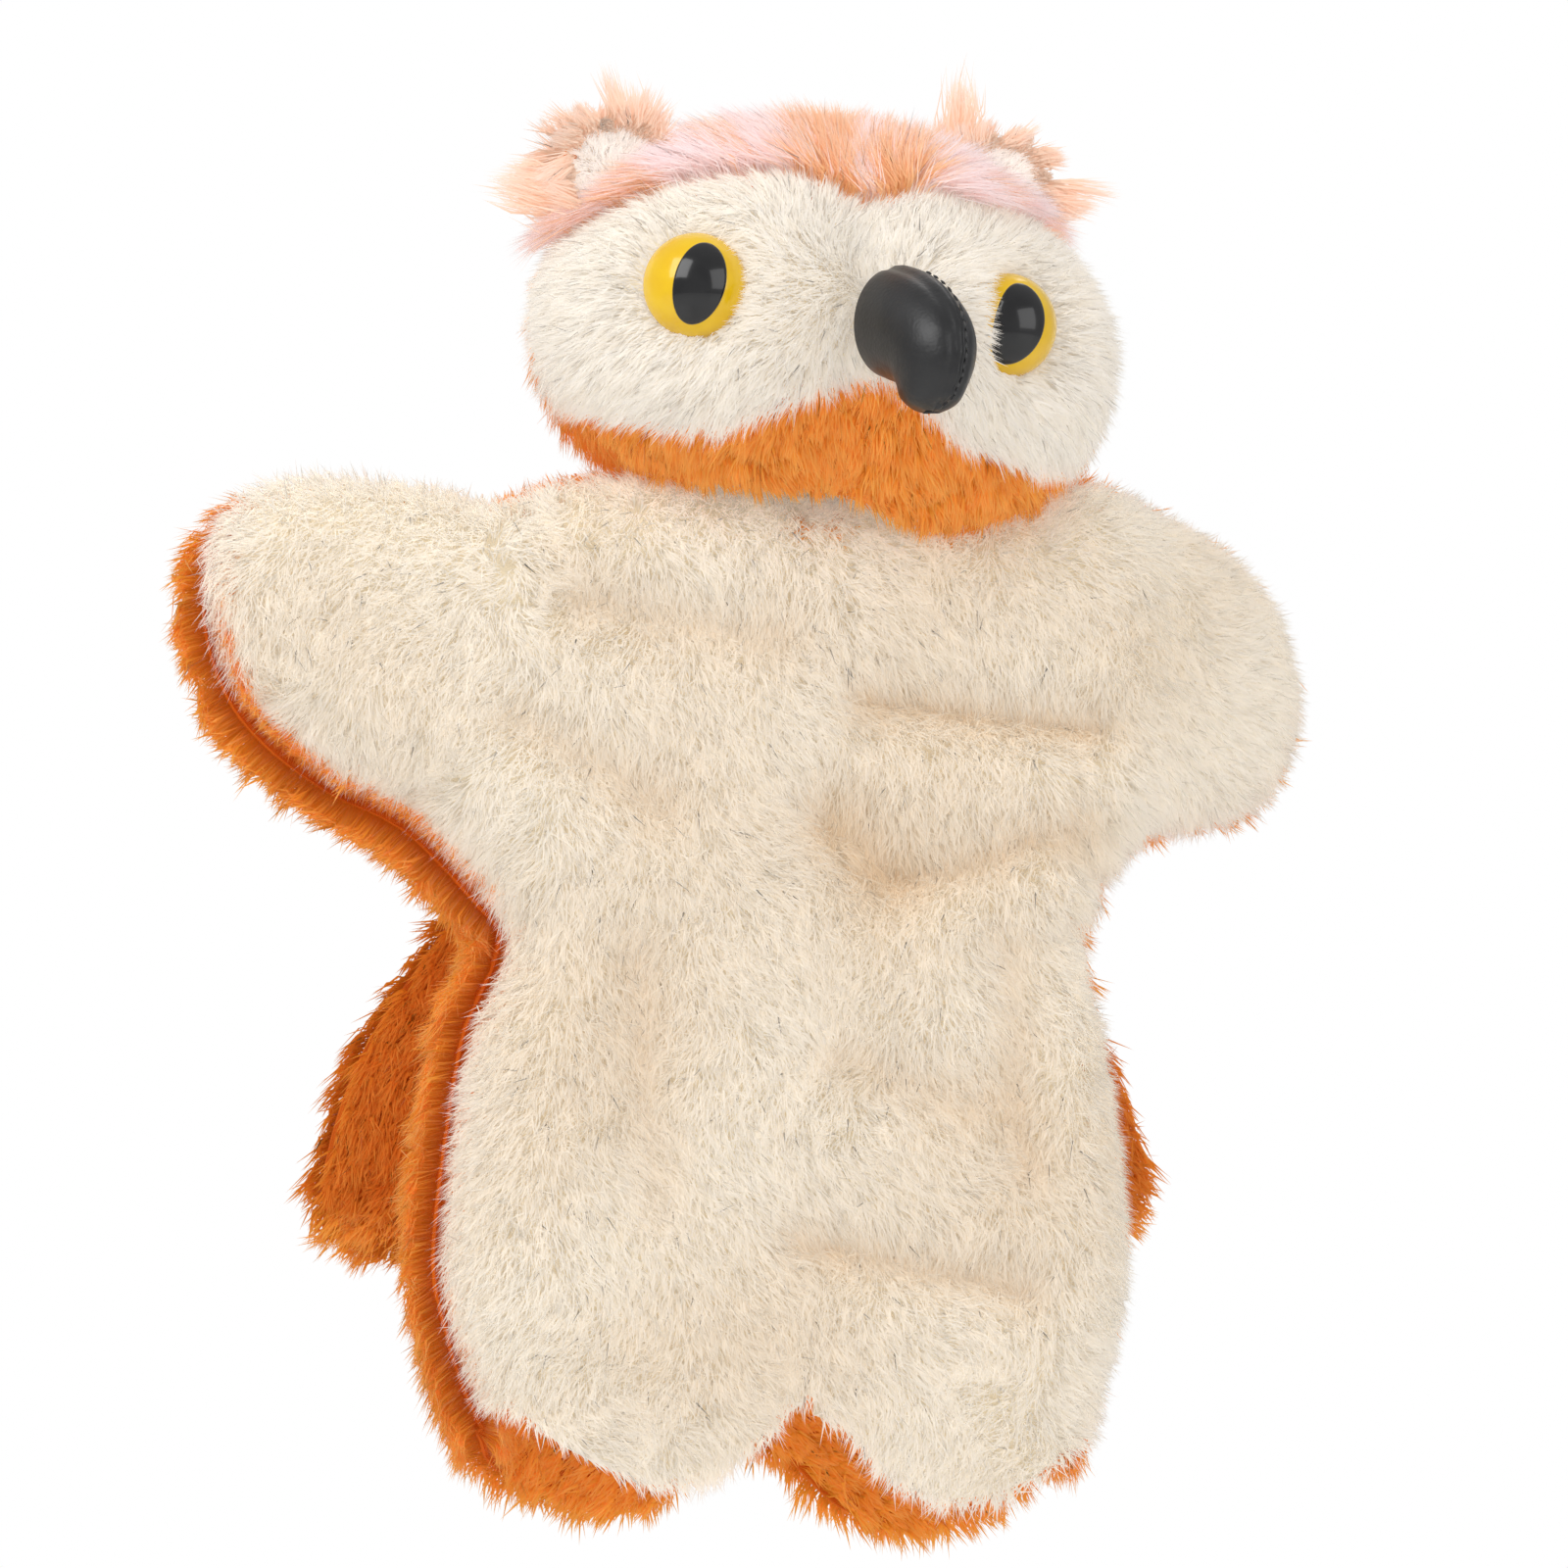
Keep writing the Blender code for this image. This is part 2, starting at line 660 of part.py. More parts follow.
def main():
    for old in list(bpy.data.objects):
        bpy.data.objects.remove(old, do_unlink=True)
    build_body()
    build_head()


main()
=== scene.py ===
# %% [markdown]
# # An owl glove puppet in plush
# The puppet is a cloth hand glove sewn from two kinds of plush: cream in front, orange behind.
# A stuffed head with moulded eyes sits on top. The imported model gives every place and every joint;
# this lesson grows the plush, shapes the beak and paints each finish around it.

# %% Load the fixed frame
import math

import bmesh
import bpy
import numpy as np
from mathutils import Matrix, Vector, geometry, kdtree, noise


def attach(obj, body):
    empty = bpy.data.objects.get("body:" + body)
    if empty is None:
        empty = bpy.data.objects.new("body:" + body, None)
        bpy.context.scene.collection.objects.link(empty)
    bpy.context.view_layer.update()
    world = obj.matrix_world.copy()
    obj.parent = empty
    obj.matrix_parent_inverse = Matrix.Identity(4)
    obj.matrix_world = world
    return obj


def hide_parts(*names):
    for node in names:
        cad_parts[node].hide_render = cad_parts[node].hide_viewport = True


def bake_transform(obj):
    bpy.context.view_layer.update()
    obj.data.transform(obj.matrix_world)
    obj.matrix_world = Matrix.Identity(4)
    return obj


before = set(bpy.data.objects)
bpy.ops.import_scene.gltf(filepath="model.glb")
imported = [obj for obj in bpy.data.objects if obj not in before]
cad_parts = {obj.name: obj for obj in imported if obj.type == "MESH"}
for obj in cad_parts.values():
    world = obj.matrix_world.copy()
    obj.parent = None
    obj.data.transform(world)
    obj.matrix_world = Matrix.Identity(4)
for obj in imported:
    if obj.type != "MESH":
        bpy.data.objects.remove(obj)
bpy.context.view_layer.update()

MM = 0.001

# %% [markdown]
# ## Where we stand
# A long lens keeps the puppet's proportions, as a catalogue picture does. The camera is a little to
# the puppet's right and just below its middle, so the orange back shows along one side.

# %% Camera
VIEW_AZIMUTH = math.radians(-18)
VIEW_ELEVATION = math.radians(-1)
VIEW_DISTANCE = 2.6
FRAME_WIDTH = 0.316
VIEW_TARGET = Vector((0.0, 0.0, 0.1527))

lens = bpy.data.cameras.new("long_lens")
lens.sensor_width = 36
lens.lens = 36 * VIEW_DISTANCE / FRAME_WIDTH
lens.clip_start = 0.05
camera = bpy.data.objects.new("camera", lens)
bpy.context.scene.collection.objects.link(camera)
back = Vector((math.sin(VIEW_AZIMUTH) * math.cos(VIEW_ELEVATION),
               -math.cos(VIEW_AZIMUTH) * math.cos(VIEW_ELEVATION),
               math.sin(VIEW_ELEVATION)))
camera.location = VIEW_TARGET + back * VIEW_DISTANCE
camera.rotation_euler = back.to_track_quat("Z", "Y").to_euler()
bpy.context.scene.camera = camera
print("lens", round(lens.lens), "mm")

# %% [markdown]
# ## Light and floor
# White plush needs light from all round, or its roots turn grey. A pale sky fills every side and three
# large soft panels give the shape back. The floor is a pale disc well below the hand that would hold
# the puppet.

# %% Sky
def set_sky(lighting, backdrop):
    """A pale world: one strength lights the puppet, the other is what the eye sees behind it."""
    world = bpy.data.worlds.new("pale_sky")
    bpy.context.scene.world = world
    world.use_nodes = True
    tree = world.node_tree
    sky = tree.nodes["Background"]
    sky.inputs["Color"].default_value = (1.0, 1.0, 1.0, 1.0)
    sky.inputs["Strength"].default_value = lighting
    seen = tree.nodes.new("ShaderNodeBackground")
    seen.inputs["Color"].default_value = (1.0, 1.0, 1.0, 1.0)
    seen.inputs["Strength"].default_value = backdrop
    which = tree.nodes.new("ShaderNodeLightPath")
    mix = tree.nodes.new("ShaderNodeMixShader")
    tree.links.new(which.outputs["Is Camera Ray"], mix.inputs["Fac"])
    tree.links.new(sky.outputs[0], mix.inputs[1])
    tree.links.new(seen.outputs[0], mix.inputs[2])
    tree.links.new(mix.outputs[0], tree.nodes["World Output"].inputs["Surface"])


set_sky(lighting=0.52, backdrop=1.0)
bpy.context.scene.view_settings.view_transform = "Standard"

# %% Soft panels
def soft_panel(name, azimuth, elevation, distance, size, watts):
    """A square lamp that looks at the puppet's middle."""
    data = bpy.data.lights.new(name, "AREA")
    data.shape = "SQUARE"
    data.size = size
    data.energy = watts
    lamp = bpy.data.objects.new(name, data)
    bpy.context.scene.collection.objects.link(lamp)
    a, e = math.radians(azimuth), math.radians(elevation)
    away = Vector((math.sin(a) * math.cos(e), -math.cos(a) * math.cos(e), math.sin(e)))
    lamp.location = VIEW_TARGET + away * distance
    lamp.rotation_euler = away.to_track_quat("Z", "Y").to_euler()
    return lamp


soft_panel("window_panel", azimuth=-55, elevation=38, distance=1.3, size=0.9, watts=9.4)
soft_panel("front_panel", azimuth=35, elevation=15, distance=1.5, size=1.0, watts=4.7)
soft_panel("back_panel", azimuth=160, elevation=40, distance=1.4, size=0.9, watts=6.2)

# %% [markdown]
# ## Shader sums as Python sums
# A material is a graph of nodes. Wrapping one socket in a small class lets us write the graph as
# ordinary expressions, so `1 - mask * 0.3` adds its own nodes.

# %% Socket wrapper
class Wire:
    """One output socket of a shader, used like a number."""

    def __init__(self, tree, socket=None):
        self.tree = tree
        self.socket = socket

    def make(self, kind, settings=None, inputs=None, output=0):
        """Add a node: its settings first, then the values or links of its sockets."""
        node = self.tree.nodes.new(kind)
        for key, value in (settings or {}).items():
            if key == "stops":
                set_stops(node.color_ramp, value)
            else:
                setattr(node, key, value)
        for key, value in (inputs or {}).items():
            if isinstance(value, Wire):
                self.tree.links.new(value.socket, node.inputs[key])
            else:
                node.inputs[key].default_value = value
        return Wire(self.tree, node.outputs[output])

    def other(self, output):
        """Another output of the same node."""
        return Wire(self.tree, self.socket.node.outputs[output])

    def maths(self, operation, *values):
        return self.make("ShaderNodeMath", {"operation": operation}, dict(enumerate(values)))

    def __add__(self, value):
        return self.maths("ADD", self, value)

    def __sub__(self, value):
        return self.maths("SUBTRACT", self, value)

    def __rsub__(self, value):
        return self.maths("SUBTRACT", value, self)

    def __mul__(self, value):
        return self.maths("MULTIPLY", self, value)

    def __pow__(self, value):
        return self.maths("POWER", self, value)

    __radd__ = __add__
    __rmul__ = __mul__


def set_stops(ramp, stops):
    """Give a colour ramp its stops: (place, colour) pairs."""
    while len(ramp.elements) < len(stops):
        ramp.elements.new(1.0)
    for element, (place, colour) in zip(ramp.elements, stops):
        element.position = place
        element.color = (*colour, 1.0)


# %% Material maker
def finish(name, fixed, varying=None, through=None):
    """A material whose fixed values sit on the shader and whose varying ones are wired to it.
    through is the share of light that passes a thin fibre, and the colour it has on the far side."""
    material = bpy.data.materials.new(name)
    material.use_nodes = True
    tree = material.node_tree
    shader = tree.nodes["Principled BSDF"]
    for key, value in fixed.items():
        shader.inputs[key].default_value = value
    if varying is not None:
        wires = varying(Wire(tree))
        for key, wire in wires.items():
            tree.links.new(wire.socket, shader.inputs[key])
    if through:
        share, colour = through
        glow = Wire(tree).make("ShaderNodeBsdfTranslucent", {}, {"Color": (*colour, 1.0)})
        both = Wire(tree).make("ShaderNodeMixShader", {},
                               {0: share, 1: Wire(tree, shader.outputs[0]), 2: glow})
        tree.links.new(both.socket, tree.nodes["Material Output"].inputs["Surface"])
    return material


# %% [markdown]
# ## Plush colours
# Each hair is dark at its root and pale at its tip, and no two hairs match; the darker root is partly
# the hair's own colour and partly painted shade, for the shade deep in the pile. Every hair therefore carries
# two numbers in its UV map: how far along the hair we are, and how light that hair is. The finish
# reads both, which keeps it cheap and the same from every side.

# %% Plush finishes
HAIR_MAP = "OFBake"
CREAM_HAIR = ((0.90, 0.81, 0.64), (0.96, 0.915, 0.845), (0.975, 0.95, 0.92))
# The face's hair is whiter than the body's: partly its own colour, partly painted light for the more brightly lit
# face.
FACE_HAIR_COLOURS = ((0.91, 0.83, 0.73), (0.96, 0.92, 0.87), (0.975, 0.95, 0.92))
ORANGE_HAIR = ((0.62, 0.15, 0.008), (0.94, 0.41, 0.035), (0.98, 0.60, 0.17))
FROST_HAIR = ((0.84, 0.46, 0.28), (0.86, 0.71, 0.69), (0.87, 0.83, 0.88))
CROWN_HAIR_COLOURS = ((0.78, 0.26, 0.04), (0.84, 0.46, 0.20), (0.86, 0.64, 0.48))
TAIL_HAIR_COLOURS = ((0.48, 0.08, 0.004), (0.86, 0.29, 0.016), (0.96, 0.50, 0.10))
PEACH_HAIR = ((0.88, 0.60, 0.42), (0.92, 0.73, 0.58), (0.95, 0.86, 0.80))
WHITE_HAIR = ((0.78, 0.68, 0.60), (0.91, 0.87, 0.83), (0.94, 0.92, 0.91))


def along_hair(wire, travel, colours):
    """Colour from root to tip; the darker root is partly painted shade."""
    root, middle, tip = colours
    return wire.make("ShaderNodeValToRGB", {"stops": ((0.0, root), (0.42, middle), (1.0, tip))},
                     {"Fac": travel})


def hair_colours(light, dark_share, colours, second=None):
    """Wires for a plush: one colour family, or two that the hair's own lightness picks between. The colour also feeds
    a painted glow that lifts the shade in the pile.
    """
    def wires(wire):
        place = wire.make("ShaderNodeUVMap", {"uv_map": HAIR_MAP})
        lightness = place.make("ShaderNodeSeparateXYZ", {}, {0: place})
        travel = lightness.other(1)
        colour = along_hair(wire, travel, colours)
        if second is not None:
            pick = wire.make("ShaderNodeMapRange", {"interpolation_type": "SMOOTHSTEP"},
                             {"Value": lightness, "From Min": 0.42, "From Max": 0.58})
            colour = wire.make("ShaderNodeMix", {"data_type": "RGBA"},
                               {"Factor": pick, 6: colour, 7: along_hair(wire, travel, second)}, 2)
        shade = wire.make("ShaderNodeValToRGB", {"stops": ((0.0, dark_share), (1.0, light))},
                          {"Fac": lightness})
        mixed = wire.make("ShaderNodeMix", {"data_type": "RGBA", "blend_type": "MULTIPLY"},
                          {"Factor": 1.0, 6: colour, 7: shade}, 2)
        return {"Base Color": mixed, "Emission Color": mixed, "Roughness": 0.72 - 0.16 * travel}
    return wires


# Emission Strength sets that painted glow: each plush glows faintly in its own colour, standing in for light
# scattered through the pile.
PLUSH = {"Specular IOR Level": 0.2, "Sheen Weight": 0.15, "Sheen Roughness": 0.5, "Emission Strength": 0.28}
PALE_PLUSH = {**PLUSH, "Emission Strength": 0.26}
cream_plush = finish("cream_plush", PALE_PLUSH,
                     hair_colours((1.0, 1.0, 1.0), (0.84, 0.71, 0.56), CREAM_HAIR), (0.5, (0.97, 0.92, 0.82)))
face_plush = finish("face_plush", {**PALE_PLUSH, "Emission Strength": 0.22},
                    hair_colours((1.0, 1.0, 1.0), (0.95, 0.92, 0.87), FACE_HAIR_COLOURS), (0.42, (0.97, 0.95, 0.90)))
orange_plush = finish("orange_plush", PLUSH,
                      hair_colours((1.0, 1.0, 1.0), (0.80, 0.66, 0.55), ORANGE_HAIR), (0.4, (0.92, 0.36, 0.03)))
tail_plush = finish("tail_plush", {**PLUSH, "Emission Strength": 0.16},
                    hair_colours((1.0, 1.0, 1.0), (0.80, 0.62, 0.50), TAIL_HAIR_COLOURS, ORANGE_HAIR),
                    (0.4, (0.88, 0.30, 0.02)))
frosted_plush = finish("frosted_plush", PALE_PLUSH,
                       hair_colours((1.0, 1.0, 1.0), (1.0, 0.94, 0.90), CROWN_HAIR_COLOURS, FROST_HAIR),
                       (0.25, (0.92, 0.66, 0.55)))
peach_plush = finish("peach_plush", PALE_PLUSH,
                     hair_colours((1.0, 1.0, 1.0), (0.93, 0.84, 0.78), PEACH_HAIR), (0.3, (0.92, 0.66, 0.52)))
white_plush = finish("white_plush", {**PALE_PLUSH, "Emission Strength": 0.36},
                     hair_colours((1.0, 1.0, 1.0), (0.94, 0.90, 0.86), WHITE_HAIR), (0.3, (0.95, 0.91, 0.87)))
print("plush finishes ready")

# %% [markdown]
# ## Growing plush
# Real plush is a knitted backing with cut fibres standing in it. We scatter roots over a cloth, give
# each hair a thin tapered blade that leans the way the pile was brushed, and pull neighbouring tips
# together, because plush parts into small locks. Hair as mesh can be exported; particle hair can't.

# %% Roots on a cloth
def cloth_triangles(cloth):
    """Corner places and corner normals of a cloth's triangles."""
    evaluated = cloth.evaluated_get(bpy.context.evaluated_depsgraph_get())
    mesh = evaluated.to_mesh()
    mesh.calc_loop_triangles()
    places = np.empty(len(mesh.vertices) * 3, np.float32)
    normals = np.empty(len(mesh.vertices) * 3, np.float32)
    corners = np.empty(len(mesh.loop_triangles) * 3, np.int32)
    mesh.vertices.foreach_get("co", places)
    mesh.vertex_normals.foreach_get("vector", normals)
    mesh.loop_triangles.foreach_get("vertices", corners)
    evaluated.to_mesh_clear()
    corners = corners.reshape(-1, 3)
    return places.reshape(-1, 3)[corners], normals.reshape(-1, 3)[corners]


def unit(vectors):
    return vectors / np.maximum(np.linalg.norm(vectors, axis=-1, keepdims=True), 1e-9)


def scatter_roots(cloth, per_mm2, rng):
    """Evenly random places on a cloth, with the normal at each."""
    places, normals = cloth_triangles(cloth)
    areas = np.linalg.norm(np.cross(places[:, 1] - places[:, 0], places[:, 2] - places[:, 0]), axis=1) / 2
    count = int(areas.sum() * 1e6 * per_mm2)
    chosen = rng.choice(len(areas), count, p=areas / areas.sum())
    a, b = rng.random(count), rng.random(count)
    fold = a + b > 1
    a[fold], b[fold] = 1 - a[fold], 1 - b[fold]
    share = np.stack([1 - a - b, a, b], 1)[:, :, None]
    return (places[chosen] * share).sum(1), unit((normals[chosen] * share).sum(1))


# %% Locks of hair
def gather_locks(roots, tips, spacing, pull, rng, uneven=0.0):
    """Pull each tip towards the tip of the nearest lock; uneven makes some locks longer than others."""
    count = max(int(len(roots) * spacing), 1)
    leaders = rng.choice(len(roots), count, replace=False)
    tree = kdtree.KDTree(count)
    for k, leader in enumerate(leaders):
        tree.insert(roots[leader].tolist(), k)
    tree.balance()
    nearest = np.array([tree.find(root)[1] for root in roots.tolist()])
    reach = 1 + uneven * (rng.random(count)[nearest] - 0.7)
    tips = roots + (tips - roots) * reach[:, None]
    target = tips[leaders[nearest]]
    strength = pull * rng.uniform(0.4, 1.0, len(roots))[:, None]
    return tips + (target - tips) * strength, nearest


def blade_mesh(name, roots, middles, tips, normals, width, light, rng):
    """One thin blade for each hair, pointed at both ends and widest in the middle."""
    count = len(roots)
    along = unit(tips - roots)
    across = unit(np.cross(along, normals + 0.35 * rng.normal(size=(count, 3))))
    half = (width * 0.5)[:, None]
    points = np.stack([roots, middles - across * half, middles + across * half, tips], 1)
    base = (np.arange(count) * 4)[:, None]
    faces = np.stack([base + [0, 2, 1], base + [1, 2, 3]], 1).reshape(-1)
    mesh = bpy.data.meshes.new(name)
    mesh.vertices.add(count * 4)
    mesh.vertices.foreach_set("co", points.astype(np.float32).ravel())
    mesh.loops.add(len(faces))
    mesh.loops.foreach_set("vertex_index", faces.astype(np.int32).ravel())
    mesh.polygons.add(count * 2)
    mesh.polygons.foreach_set("loop_start", np.arange(0, len(faces), 3, dtype=np.int32))
    mesh.update(calc_edges=True)
    mesh.shade_smooth()
    turned = unit(0.7 * normals + 0.3 * unit(np.cross(across, along)) + 0.12 * rng.normal(size=(count, 3)))
    mesh.normals_split_custom_set_from_vertices(np.repeat(turned, 4, axis=0))
    travel = np.array([0.0, 0.5, 0.5, 1.0])[faces % 4]
    shade = light[faces // 4]
    layer = mesh.uv_layers.new(name=HAIR_MAP)
    layer.uv.foreach_set("vector", np.stack([shade, travel], 1).astype(np.float32).ravel())
    return mesh


# %% Grow plush on a cloth
def grow_plush(name, cloth, finish_used, per_mm2, length, width, brush, lean=0.5, wild=0.25,
               locks=0.06, pull=0.5, uneven=0.0, droop=0.15, light=None, trim=None, seed=1):
    """Plush on one cloth. Lengths in millimetres; brush(places) is the way the pile lies."""
    rng = np.random.default_rng(seed)
    roots, normals = scatter_roots(cloth, per_mm2, rng)
    share = np.ones(len(roots)) if trim is None else trim(roots)
    kept = share > 0.05
    roots, normals, share = roots[kept], normals[kept], share[kept]
    count = len(roots)
    flow = brush(roots)
    flow = unit(flow - normals * (flow * normals).sum(1, keepdims=True))
    messy = rng.normal(size=(count, 3)) * wild
    start = unit(normals + flow * lean * 0.5 + messy * 0.5)
    way = unit(normals * (1 - 0.5 * lean) + flow * lean + messy)
    reach = (length * MM * share * rng.uniform(0.72, 1.12, count))[:, None]
    middles = roots + start * reach * 0.5
    tips = middles + way * reach * 0.5
    tips[:, 2] -= (droop * reach[:, 0])
    tips, lock = gather_locks(roots, tips, locks, pull, rng, uneven)
    middles = middles + (tips - roots - way * reach) * 0.25
    lock_light = rng.random(lock.max() + 1)[lock]
    own = rng.random(count)
    lightness = 0.55 * lock_light + 0.45 * own
    if light is not None:
        lightness = light(roots, lightness, rng)
    widths = width * MM * rng.uniform(0.7, 1.3, count)
    mesh = blade_mesh(name, roots, middles, tips, normals, widths, np.clip(lightness, 0.02, 0.98), rng)
    mesh.materials.append(finish_used)
    piece = bpy.data.objects.new(name, mesh)
    bpy.context.scene.collection.objects.link(piece)
    print(name, count, "hairs")
    return piece


def swirl(places, scale, seed):
    """A slow random direction over space, so that brushed pile isn't all alike."""
    turn = [noise.noise_vector(Vector(p) * scale + Vector((seed, 0, 0))) for p in places.tolist()]
    return np.array(turn)

# %% [markdown]
# ## The pattern of the body
# On the real puppet the front is one piece of cloth: body, wings and leg lobes together. So is the back.
# We draw half of that pattern, fill it with triangles, and push it out into the rounded shape that a
# hand gives it. The cloth lies a pile's height inside the finished outline, since the hairs fill the rest.

# %% Sizes of the pattern, in millimetres
PILE = 6.0
SEAM_DEPTH = -8.0
HEM = ((0, 27), (5, 21), (13, 13.5), (24, 8.5), (35, 8), (46, 11), (56, 17.5), (63, 27))
SIDE = ((68, 40), (71, 54), (70, 72), (66, 100), (62, 122), (60, 134))
WING_HEIGHTS = ((0, 37), (16, 35), (34, 31), (48, 25), (57, 16), (62, 4))
WING_ROOT = (62, 174)
WINGS = {
    "right": {"side": -1, "lift": math.tan(math.radians(17)), "sweep": math.tan(math.radians(3)), "reach": 1.0,
              "hem_drop": 0.0, "neckline": ((51, 214), (38, 216), (20, 216), (0, 214))},
    "left": {"side": 1, "lift": math.tan(math.radians(-7)), "sweep": math.tan(math.radians(25)),
             "reach": math.cos(math.radians(25)), "hem_drop": 4.5,
             "neckline": ((51, 210), (38, 211), (20, 213), (0, 214))},
}


def ease(value):
    """From 0 to 1 with a soft start and end."""
    value = np.clip(value, 0, 1)
    return value * value * (3 - 2 * value)


def smooth_line(points, step):
    """Even points along a Catmull-Rom curve through the given ones."""
    line = []
    last = len(points) - 1
    for i in range(last):
        p = [np.array(points[min(max(k, 0), last)], float) for k in (i - 1, i, i + 1, i + 2)]
        pieces = max(int(np.linalg.norm(p[2] - p[1]) / step), 1)
        for n in range(pieces):
            t = n / pieces
            line.append(0.5 * (2 * p[1] + (p[2] - p[0]) * t + (2 * p[0] - 5 * p[1] + 4 * p[2] - p[3]) * t ** 2
                               + (3 * p[1] - p[0] - 3 * p[2] + p[3]) * t ** 3))
    line.append(np.array(points[-1], float))
    return np.array(line)


def wing_edge(wing, upper):
    """Upper or lower edge of a wing, root first."""
    edge = []
    for out, height in WING_HEIGHTS[:-1]:
        middle = WING_ROOT[1] + out * wing["lift"]
        edge.append((WING_ROOT[0] + out * wing["reach"], middle + (height if upper else -height)))
    return edge


def half_outline(wing, drop):
    """Half of the pattern, from the notch round the leg, the wing and the neck: hem, then seam."""
    tip_out, _ = WING_HEIGHTS[-1]
    tip = (WING_ROOT[0] + tip_out * wing["reach"], WING_ROOT[1] + tip_out * wing["lift"])
    drop = drop + wing["hem_drop"]
    hem = smooth_line([(x, z - drop) for x, z in HEM], 3.0)
    seam_points = [HEM[-1], *SIDE[:-1], *wing_edge(wing, False)[1:], tip, *wing_edge(wing, True)[::-1],
                   *wing["neckline"]]
    seam_points[0] = (HEM[-1][0], HEM[-1][1] - drop)
    seam = smooth_line(seam_points, 3.0)
    hem, seam = pull_in(hem, PILE), pull_in(seam, PILE)
    for line in (hem, seam):
        if wing["side"] < 0:
            line[:, 0] += 3.5 * ease((130 - line[:, 1]) / 25) * ease((line[:, 0] - 40) / 20)
        if drop:
            fuller_back(line, wing["side"])
    hem[0, 0] = seam[-1, 0] = 0.0
    return hem, seam


def fuller_back(line, side):
    """The back is cut fuller than the front: it hangs out on the right, and rises on the left wing."""
    out = ease((line[:, 0] - 36) / 24)
    high = ease((line[:, 1] - 118) / 20)
    if side < 0:
        low_edge = ease((205 - line[:, 1]) / 20)
        low_leg = ease((line[:, 1] + 5) / 45)
        line += np.stack([out * (6.0 - 2.5 * high) * low_leg, -out * high * (3.0 + 5.0 * low_edge)], 1)
    else:
        line += np.stack([0 * out, 4.5 * out * high], 1)


def pull_in(line, amount):
    """Move a line sideways, towards the inside of the pattern."""
    ahead = np.gradient(line, axis=0)
    inward = np.stack([-ahead[:, 1], ahead[:, 0]], 1)
    moved = line + unit(inward) * amount
    moved[:, 0] = np.maximum(moved[:, 0], 0.0)
    return moved


def distance_to(points, line):
    """Shortest distance from each point to a line of short stretches."""
    start, ahead = line[:-1], line[1:] - line[:-1]
    gap = points[:, None, :] - start[None]
    t = np.clip((gap * ahead).sum(2) / np.maximum((ahead ** 2).sum(1), 1e-9), 0, 1)
    return np.linalg.norm(gap - ahead * t[:, :, None], axis=2).min(1)


# %% Folds pressed into the cloth
FRONT_FOLDS = (
    ((10, 170), (58, 165), 8.0, 6.0), ((-50, 190), (-8, 183), 3.4, 7.0), ((4, 146), (14, 136), 7.0, 9.0),
    ((-4, 62), (44, 52), 5.0, 5.5), ((-38, 118), (-34, 70), 2.6, 8.0), ((40, 120), (44, 78), 3.6, 7.0),
    ((22, 134), (56, 146), 4.6, 6.0), ((-60, 166), (-34, 150), 3.6, 7.0), ((6, 98), (30, 90), 3.0, 7.0),
)
BACK_FOLDS = (((-50, 176), (-16, 160), 3.0, 7.0), ((20, 160), (54, 172), 3.0, 7.0), ((-30, 60), (30, 48), 2.5, 8.0))


def fold_depth(x, z, folds):
    """How far the folds press the cloth in, in millimetres."""
    places = np.stack([x, z], 1)
    depth = np.zeros(len(x))
    for start, end, deep, wide in folds:
        away = distance_to(places, np.array([start, end], float))
        depth += deep * np.exp(-(away / wide) ** 2)
    return depth


# %% Depth of the front and the back
def cloth_depth(x, z, seam_gap, wing, facing):
    """Y of the cloth in millimetres at pattern places x, z: facing is -1 in front, 1 behind."""
    out = np.maximum(np.abs(x) - WING_ROOT[0], 0)
    on_wing = ease((np.abs(x) - 54) / 22)
    seam = SEAM_DEPTH * (1 - on_wing) + (out * wing["sweep"] - 3) * on_wing
    along = np.clip(out / 56, 0, 1)
    if facing < 0:
        full, radius = 12 + 2.5 * on_wing - 6 * along, 15
    else:
        full, radius = 28 - 7 * on_wing - 11 * along, 19
    round_off = np.sqrt(1 - (1 - np.clip(seam_gap / radius, 0, 1)) ** 2)
    folds = fold_depth(x, z, FRONT_FOLDS if facing < 0 else BACK_FOLDS) * np.clip(seam_gap / 10, 0, 1)
    low = ease((30 - z) / 30) * 2.0
    return seam + facing * (full * round_off - folds - low)


